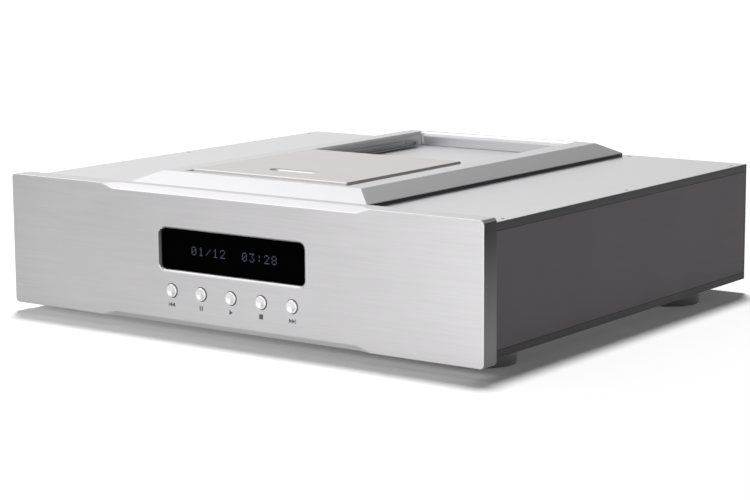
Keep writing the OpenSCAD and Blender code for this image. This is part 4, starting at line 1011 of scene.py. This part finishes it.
class TRANSPORT_OT_feet(bpy.types.Operator):
    """Turned feet and their rubber pads"""
    bl_idname = "transport.feet"
    bl_label = "Feet"

    def execute(self, context):
        bm = bmesh.new()
        edge = 0.8 * MM
        bore = 8.0 * MM
        shelf = 5.0 * MM
        clear = 0.3 * MM
        pad = max(high.x - low.x for low, high in islands("foot_pads")) / 2 + 0.3 * MM
        for low, high in islands("feet"):
            radius = (high.x - low.x) / 2
            tall = high.z - low.z
            bottom = clear - low.z
            profile = [(0, tall - shelf), (bore, tall - shelf), (bore, 0), (pad, 0), (pad, bottom),
                       (radius - edge, bottom), (radius - 0.3 * edge, bottom + 0.3 * edge),
                       (radius, bottom + edge), (radius, tall - 0.3 * edge), (radius - 0.3 * edge, tall),
                       (0, tall)]
            centre = ((low.x + high.x) / 2, (low.y + high.y) / 2, low.z)
            lathe(bm, profile, Matrix.Translation(centre), 96)
        piece_from(bm, "feet_finished", ["foot_black"], "chassis", ("feet",))
        dress("soft_rubber", "foot_pads")
        dress("screw_steel", "foot_screws")
        return {"FINISHED"}


class TRANSPORT_OT_drive(bpy.types.Operator):
    """Disc well, puck, turntable and laser sled under the lid"""
    bl_idname = "transport.drive"
    bl_label = "Disc drive"

    def execute(self, context):
        softened("disc_well", "chassis", ["well_dark"], 0.25 * MM)
        self.turn_puck(context.scene.transport.drive)
        dress("turntable_dark", "turntable")
        dress("rod_steel", "spindle_shaft", "guide_rods")
        dress("part_black", "laser_sled", "lens_holder", "rod_brackets")
        dress("lens_glass", "objective_lens")
        dress("gear_ivory", "reduction_gear")
        dress("pinion_brass", "motor_pinion")
        dress("motor_steel", "spindle_motor", "sled_motor")
        dress("deck_steel", "mech_deck")
        dress("soft_rubber", "mech_grommets")
        return {"FINISHED"}

    def turn_puck(self, look):
        low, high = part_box("disc_puck")
        radius = (high.x - low.x) / 2
        tall = high.z - low.z
        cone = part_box("turntable")[1].z - low.z
        recess = 7.7 * MM
        rib = 0.45 * MM
        edge = 0.6 * MM
        body = radius - rib
        centre = Vector(((low.x + high.x) / 2, (low.y + high.y) / 2, low.z))
        profile = [(0, cone + 0.3 * MM), (recess, cone + 0.3 * MM), (recess, 0), (body - edge, 0),
                   (body, edge), (body, tall - 2 * edge), (body - edge, tall - edge / 2),
                   (body - 2 * edge, tall), (0.62 * radius, tall), (0.60 * radius, tall - 0.4 * MM),
                   (0.50 * radius, tall - 0.4 * MM), (0.48 * radius, tall), (0, tall)]
        bm = bmesh.new()
        lathe(bm, profile, Matrix.Translation(centre), 96)
        piece_from(bm, "disc_puck_finished", ["puck_black"], "spindle", ("disc_puck",))
        bm = bmesh.new()
        hoop(bm, 0.505 * radius, 0.595 * radius, tall - 0.45 * MM, tall - 0.25 * MM,
             Matrix.Translation(centre), 96)
        piece_from(bm, "puck_ring", ["puck_black"], "spindle").data.materials[0] = finish("puck_ring")
        turns = [2 * math.pi * k / look.rib_count for k in range(look.rib_count)]
        facing = [Vector((math.cos(turn), math.sin(turn), 0)) for turn in turns]
        middle = centre + Vector((0, 0, tall / 2))
        points = [middle + (radius - rib) * away for away in facing]
        width = math.pi * radius / look.rib_count
        size = (1.9 * rib, width, tall - 5 * edge)
        mesh = grown(rib_tree(), points, {"Size": size, "Material": finish("puck_black")}, facing)
        add_piece("puck_ribs", mesh, "spindle", "puck_black")


class TRANSPORT_OT_rear_sockets(bpy.types.Operator):
    """Power inlet, switch and signal sockets on the rear panel"""
    bl_idname = "transport.rear_sockets"
    bl_label = "Rear sockets"

    def execute(self, context):
        self.paint_inlet()
        self.paint_balanced()
        softened("switch_housing", "chassis", ["part_black"], 0.2 * MM)
        softened("power_rocker", "rocker", ["rocker_black"], 0.35 * MM)
        self.draw_rocker_marks()
        softened("rca_jack", "chassis", ["jack_gold"], 0.2 * MM)
        softened("bnc_jack", "chassis", ["jack_nickel"], 0.15 * MM)
        self.paint_data()
        self.add_insulators()
        return {"FINISHED"}

    def paint_inlet(self):
        root, tip = -15.9 * MM, -2.9 * MM

        def choose(place):
            at_blade = abs(place.x) < 9 * MM and abs(place.z) < 6 * MM
            return int(at_blade and root < place.y < tip)

        painted("power_inlet", "chassis", ["part_black", "jack_nickel"], choose)

    def paint_balanced(self):
        floor, floor_radius = -14 * MM, 9.7 * MM
        root, tip, pin_circle = -13.9 * MM, -1.9 * MM, 6.5 * MM

        def choose(place):
            away = math.hypot(place.x, place.z)
            if abs(place.y - floor) < 0.1 * MM and away < floor_radius:
                return 2
            return int(away < pin_circle and root < place.y < tip)

        painted("xlr_socket", "chassis", ["jack_nickel", "jack_gold", "part_black"], choose)

    def paint_data(self):
        def choose(place):
            return int(abs(place.z) < 0.8 * MM and abs(place.x) < 5.4 * MM and place.y > -11 * MM)

        painted("data_socket", "chassis", ["jack_nickel", "part_black"], choose)

    def draw_rocker_marks(self):
        joint = next(entry for entry in frame["joints"] if entry["name"] == "rocker_tilt")
        tilt = math.radians(-10)
        face = 2.72 * MM
        lean = math.atan2(0.6, 8)
        proud = 0.05 * MM
        pivot = Matrix.Translation(joint["pos_m"]) @ Matrix.Rotation(tilt, 4, "X")
        bm = bmesh.new()
        upright = Matrix.Rotation(-math.pi / 2, 4, "X")
        low = pivot @ Matrix.Translation((0, face, -4.2 * MM)) @ Matrix.Rotation(lean, 4, "X") @ upright
        high = pivot @ Matrix.Translation((0, face, 4.2 * MM)) @ Matrix.Rotation(-lean, 4, "X") @ upright
        bar = [(-0.3 * MM, -1.6 * MM), (0.3 * MM, -1.6 * MM), (0.3 * MM, 1.6 * MM), (-0.3 * MM, 1.6 * MM)]
        plate(bm, bar, proud, high)
        hoop(bm, 1.1 * MM, 1.6 * MM, 0, proud, low, 40)
        add_piece("rocker_marks", mesh_from(bm, "rocker_marks", ["jack_white"]), "rocker")

    def add_insulators(self):
        bm = bmesh.new()
        proud = 0.15 * MM
        for name, inner, outer in (("rca_jack", 1.72 * MM, 3.1 * MM), ("bnc_jack", 1.3 * MM, 2.2 * MM)):
            low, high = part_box(name)
            deep = 0.0 if name == "rca_jack" else -4.0 * MM
            place = Matrix.Translation(((low.x + high.x) / 2, high.y - proud, (low.z + high.z) / 2))
            facing = place @ Matrix.Rotation(-math.pi / 2, 4, "X")
            hoop(bm, inner, outer, deep - 2 * MM, deep + proud, facing, 48)
        piece = piece_from(bm, "jack_insulators", ["part_black"], "chassis")
        piece.data.materials[0] = finish("jack_white")


class TRANSPORT_OT_inside(bpy.types.Operator):
    """Boards, transformer and brackets inside the case"""
    bl_idname = "transport.inside"
    bl_label = "Inside"

    def execute(self, context):
        dress("board_green", "front_board", "main_board", "power_board")
        dress("part_black", "tact_switches", "main_board_parts")
        dress("capacitor_blue", "power_capacitors")
        dress("post_brass", "board_posts")
        dress("transformer_wrap", "transformer")
        dress("rail_grey", "corner_brackets")
        dress("screw_steel", "transformer_clamp", "cap_screws", "board_screws")
        return {"FINISHED"}


class TRANSPORT_OT_stage(bpy.types.Operator):
    """Pale floor, soft studio light and the camera"""
    bl_idname = "transport.stage"
    bl_label = "Stage"

    def execute(self, context):
        look = context.scene.transport.stage
        context.scene.view_settings.view_transform = "Standard"
        self.lay_floor(look)
        self.light_studio(context.scene, look)
        self.hang_key(context.scene, look)
        self.set_camera(context.scene, look)
        return {"FINISHED"}

    def lay_floor(self, look):
        half = look.floor_size / 2
        mesh = bpy.data.meshes.new("floor")
        below = -0.2 * MM
        corners = [(-half, -half, below), (half, -half, below), (half, half, below), (-half, half, below)]
        mesh.from_pydata(corners, [], [(0, 1, 2, 3)])
        material, tree, shader = blank_material("floor")
        shader.inputs["Base Color"].default_value = (*look.floor_colour, 1.0)
        shader.inputs["Roughness"].default_value = 1.0
        shader.inputs["Specular IOR Level"].default_value = 0.0
        path = node(tree, "ShaderNodeLightPath").outputs
        mirrored = math_node(tree, "MAXIMUM", path["Is Glossy Ray"], path["Is Transmission Ray"])
        place = node(tree, "ShaderNodeSeparateXYZ", {"Vector": object_place(tree)}).outputs
        across = ramp(tree, place["X"], -0.7, 0.3, look.floor_fall * look.floor_glow, look.floor_glow)
        # Painted shadow of the part in the floor's glow: darker from just ahead of the part backward, but
        # not beside it
        rearward = ramp(tree, place["Y"], -0.24, -0.19, 1.0, look.under_fall)
        beside = ramp(tree, math_node(tree, "ABSOLUTE", place["X"], 0.0), 0.20, 0.26, 0.0, 1.0)
        # Brighter toward the corner at the right front
        skewed = math_node(tree, "SUBTRACT", place["X"], place["Y"])
        whole = math_node(tree, "ADD", across, ramp(tree, skewed, 0.42, 0.58, 0.0, look.corner_glow))
        strength = math_node(tree, "MULTIPLY", whole, math_node(tree, "MAXIMUM", rearward, beside))
        glow = node(tree, "ShaderNodeEmission", {"Strength": strength}).outputs["Emission"]
        shade = ramp(tree, place["X"], -0.25, 0.25, look.shade_left, look.shade_right)
        seen = math_node(tree, "MULTIPLY", shade, path["Is Camera Ray"])
        tree.links.new(seen, shader.inputs["Emission Strength"])
        lit = node(tree, "ShaderNodeMixShader", {0: mirrored, 1: shader.outputs["BSDF"], 2: glow})
        behind = node(tree, "ShaderNodeNewGeometry").outputs["Backfacing"]
        clear = node(tree, "ShaderNodeBsdfTransparent").outputs["BSDF"]
        either = node(tree, "ShaderNodeMixShader", {0: behind, 1: lit.outputs["Shader"], 2: clear})
        tree.links.new(either.outputs["Shader"], tree.nodes["Material Output"].inputs["Surface"])
        material.cycles.emission_sampling = "NONE"
        mesh.materials.append(material)
        floor = bpy.data.objects.new("floor", mesh)
        bpy.context.scene.collection.objects.link(floor)

    def light_studio(self, scene, look):
        """A studio that fades from a bright wall on the left to a dark one on the right."""
        world = bpy.data.worlds.new("studio")
        world.use_nodes = True
        scene.world = world
        tree = world.node_tree
        aim = node(tree, "ShaderNodeTexCoord").outputs["Generated"]
        parts = node(tree, "ShaderNodeSeparateXYZ", {"Vector": aim}).outputs

        def faded(*ends):
            return ramp(tree, *ends, interpolation_type="SMOOTHSTEP")

        sideways = faded(parts["X"], -0.56, 0.0, look.bright_side, look.dark_side)
        total = math_node(tree, "MULTIPLY", sideways, faded(parts["Y"], -0.7, 0.0, look.front_share, 1.0))
        # Direction, half angle in degrees and strength of each light panel
        panels = (((0.05, -0.99, 0.10), 60, look.front_fill), ((-0.58, -0.12, 0.81), 34, look.upper_fill),
                  ((0.75, -0.10, 0.65), 50, look.right_fill))
        for direction, reach, strength in panels:
            unit = tuple(Vector(direction).normalized())
            along = node(tree, "ShaderNodeVectorMath", {0: aim}, {1: unit}, operation="DOT_PRODUCT")
            fill = faded(along.outputs["Value"], math.cos(math.radians(reach)), 1.0, 0.0, strength)
            total = math_node(tree, "ADD", total, fill)
        matt = node(tree, "ShaderNodeLightPath").outputs["Is Diffuse Ray"]
        dimmed = math_node(tree, "MULTIPLY_ADD", matt, look.matt_share - 1.0, 1.0)
        total = math_node(tree, "MULTIPLY", total, dimmed)
        background = tree.nodes["Background"]
        background.inputs["Color"].default_value = (1.0, 1.0, 1.0, 1.0)
        tree.links.new(total, background.inputs["Strength"])
        world.cycles.sampling_method = "NONE"

    def hang_key(self, scene, look):
        lamp = bpy.data.lights.new("key", "SUN")
        lamp.energy = look.key_strength
        lamp.angle = look.key_angle
        key = bpy.data.objects.new("key", lamp)
        key.visible_glossy = False
        toward = Vector((0.17, -0.23, -0.955))
        key.rotation_euler = toward.to_track_quat("-Z", "Y").to_euler()
        scene.collection.objects.link(key)

    def set_camera(self, scene, look):
        data = bpy.data.cameras.new("camera")
        data.sensor_width = 36.0
        data.lens = look.lens
        camera = bpy.data.objects.new("camera", data)
        place = Vector(look.camera_place)
        ahead = (Vector(look.camera_target) - place).normalized()
        facing = ahead.to_track_quat("-Z", "Y").to_matrix().to_4x4()
        camera.matrix_world = Matrix.Translation(place) @ facing @ Matrix.Rotation(look.camera_roll, 4, "Z")
        scene.collection.objects.link(camera)
        scene.camera = camera


class TransportLook(bpy.types.PropertyGroup):
    """All the settings of the transport's looks"""
    case: bpy.props.PointerProperty(type=CaseLook, name="Case", description="Finish of the case")
    readout: bpy.props.PointerProperty(type=ReadoutLook, name="Readout", description="Digits on the display")
    drive: bpy.props.PointerProperty(type=DriveLook, name="Drive", description="Disc drive under the lid")
    stage: bpy.props.PointerProperty(type=StageLook, name="Stage", description="Camera, floor and light")


OPERATORS = (
    TRANSPORT_OT_stage, TRANSPORT_OT_front_panel, TRANSPORT_OT_display, TRANSPORT_OT_buttons,
    TRANSPORT_OT_case, TRANSPORT_OT_lid, TRANSPORT_OT_screws, TRANSPORT_OT_feet, TRANSPORT_OT_drive,
    TRANSPORT_OT_rear_sockets, TRANSPORT_OT_inside,
)


class TRANSPORT_PT_looks(bpy.types.Panel):
    """Settings and steps of the transport's looks"""
    bl_idname = "TRANSPORT_PT_looks"
    bl_label = "Disc transport"
    bl_space_type = "VIEW_3D"
    bl_region_type = "UI"
    bl_category = "Transport"

    def draw(self, context):
        for group in ("case", "readout", "drive", "stage"):
            settings = getattr(context.scene.transport, group)
            box = self.layout.box()
            for key in settings.bl_rna.properties.keys():
                if key not in ("name", "rna_type"):
                    box.prop(settings, key)
        for step in OPERATORS:
            self.layout.operator(step.bl_idname)


CLASSES = (CaseLook, ReadoutLook, DriveLook, StageLook, TransportLook, *OPERATORS, TRANSPORT_PT_looks)


def register():
    for made in CLASSES:
        bpy.utils.register_class(made)
    bpy.types.Scene.transport = bpy.props.PointerProperty(type=TransportLook)


def unregister():
    del bpy.types.Scene.transport
    for made in reversed(CLASSES):
        bpy.utils.unregister_class(made)


def main():
    register()
    for step in OPERATORS:
        area, name = step.bl_idname.split(".")
        getattr(getattr(bpy.ops, area), name)()


if __name__ == "__main__":
    main()
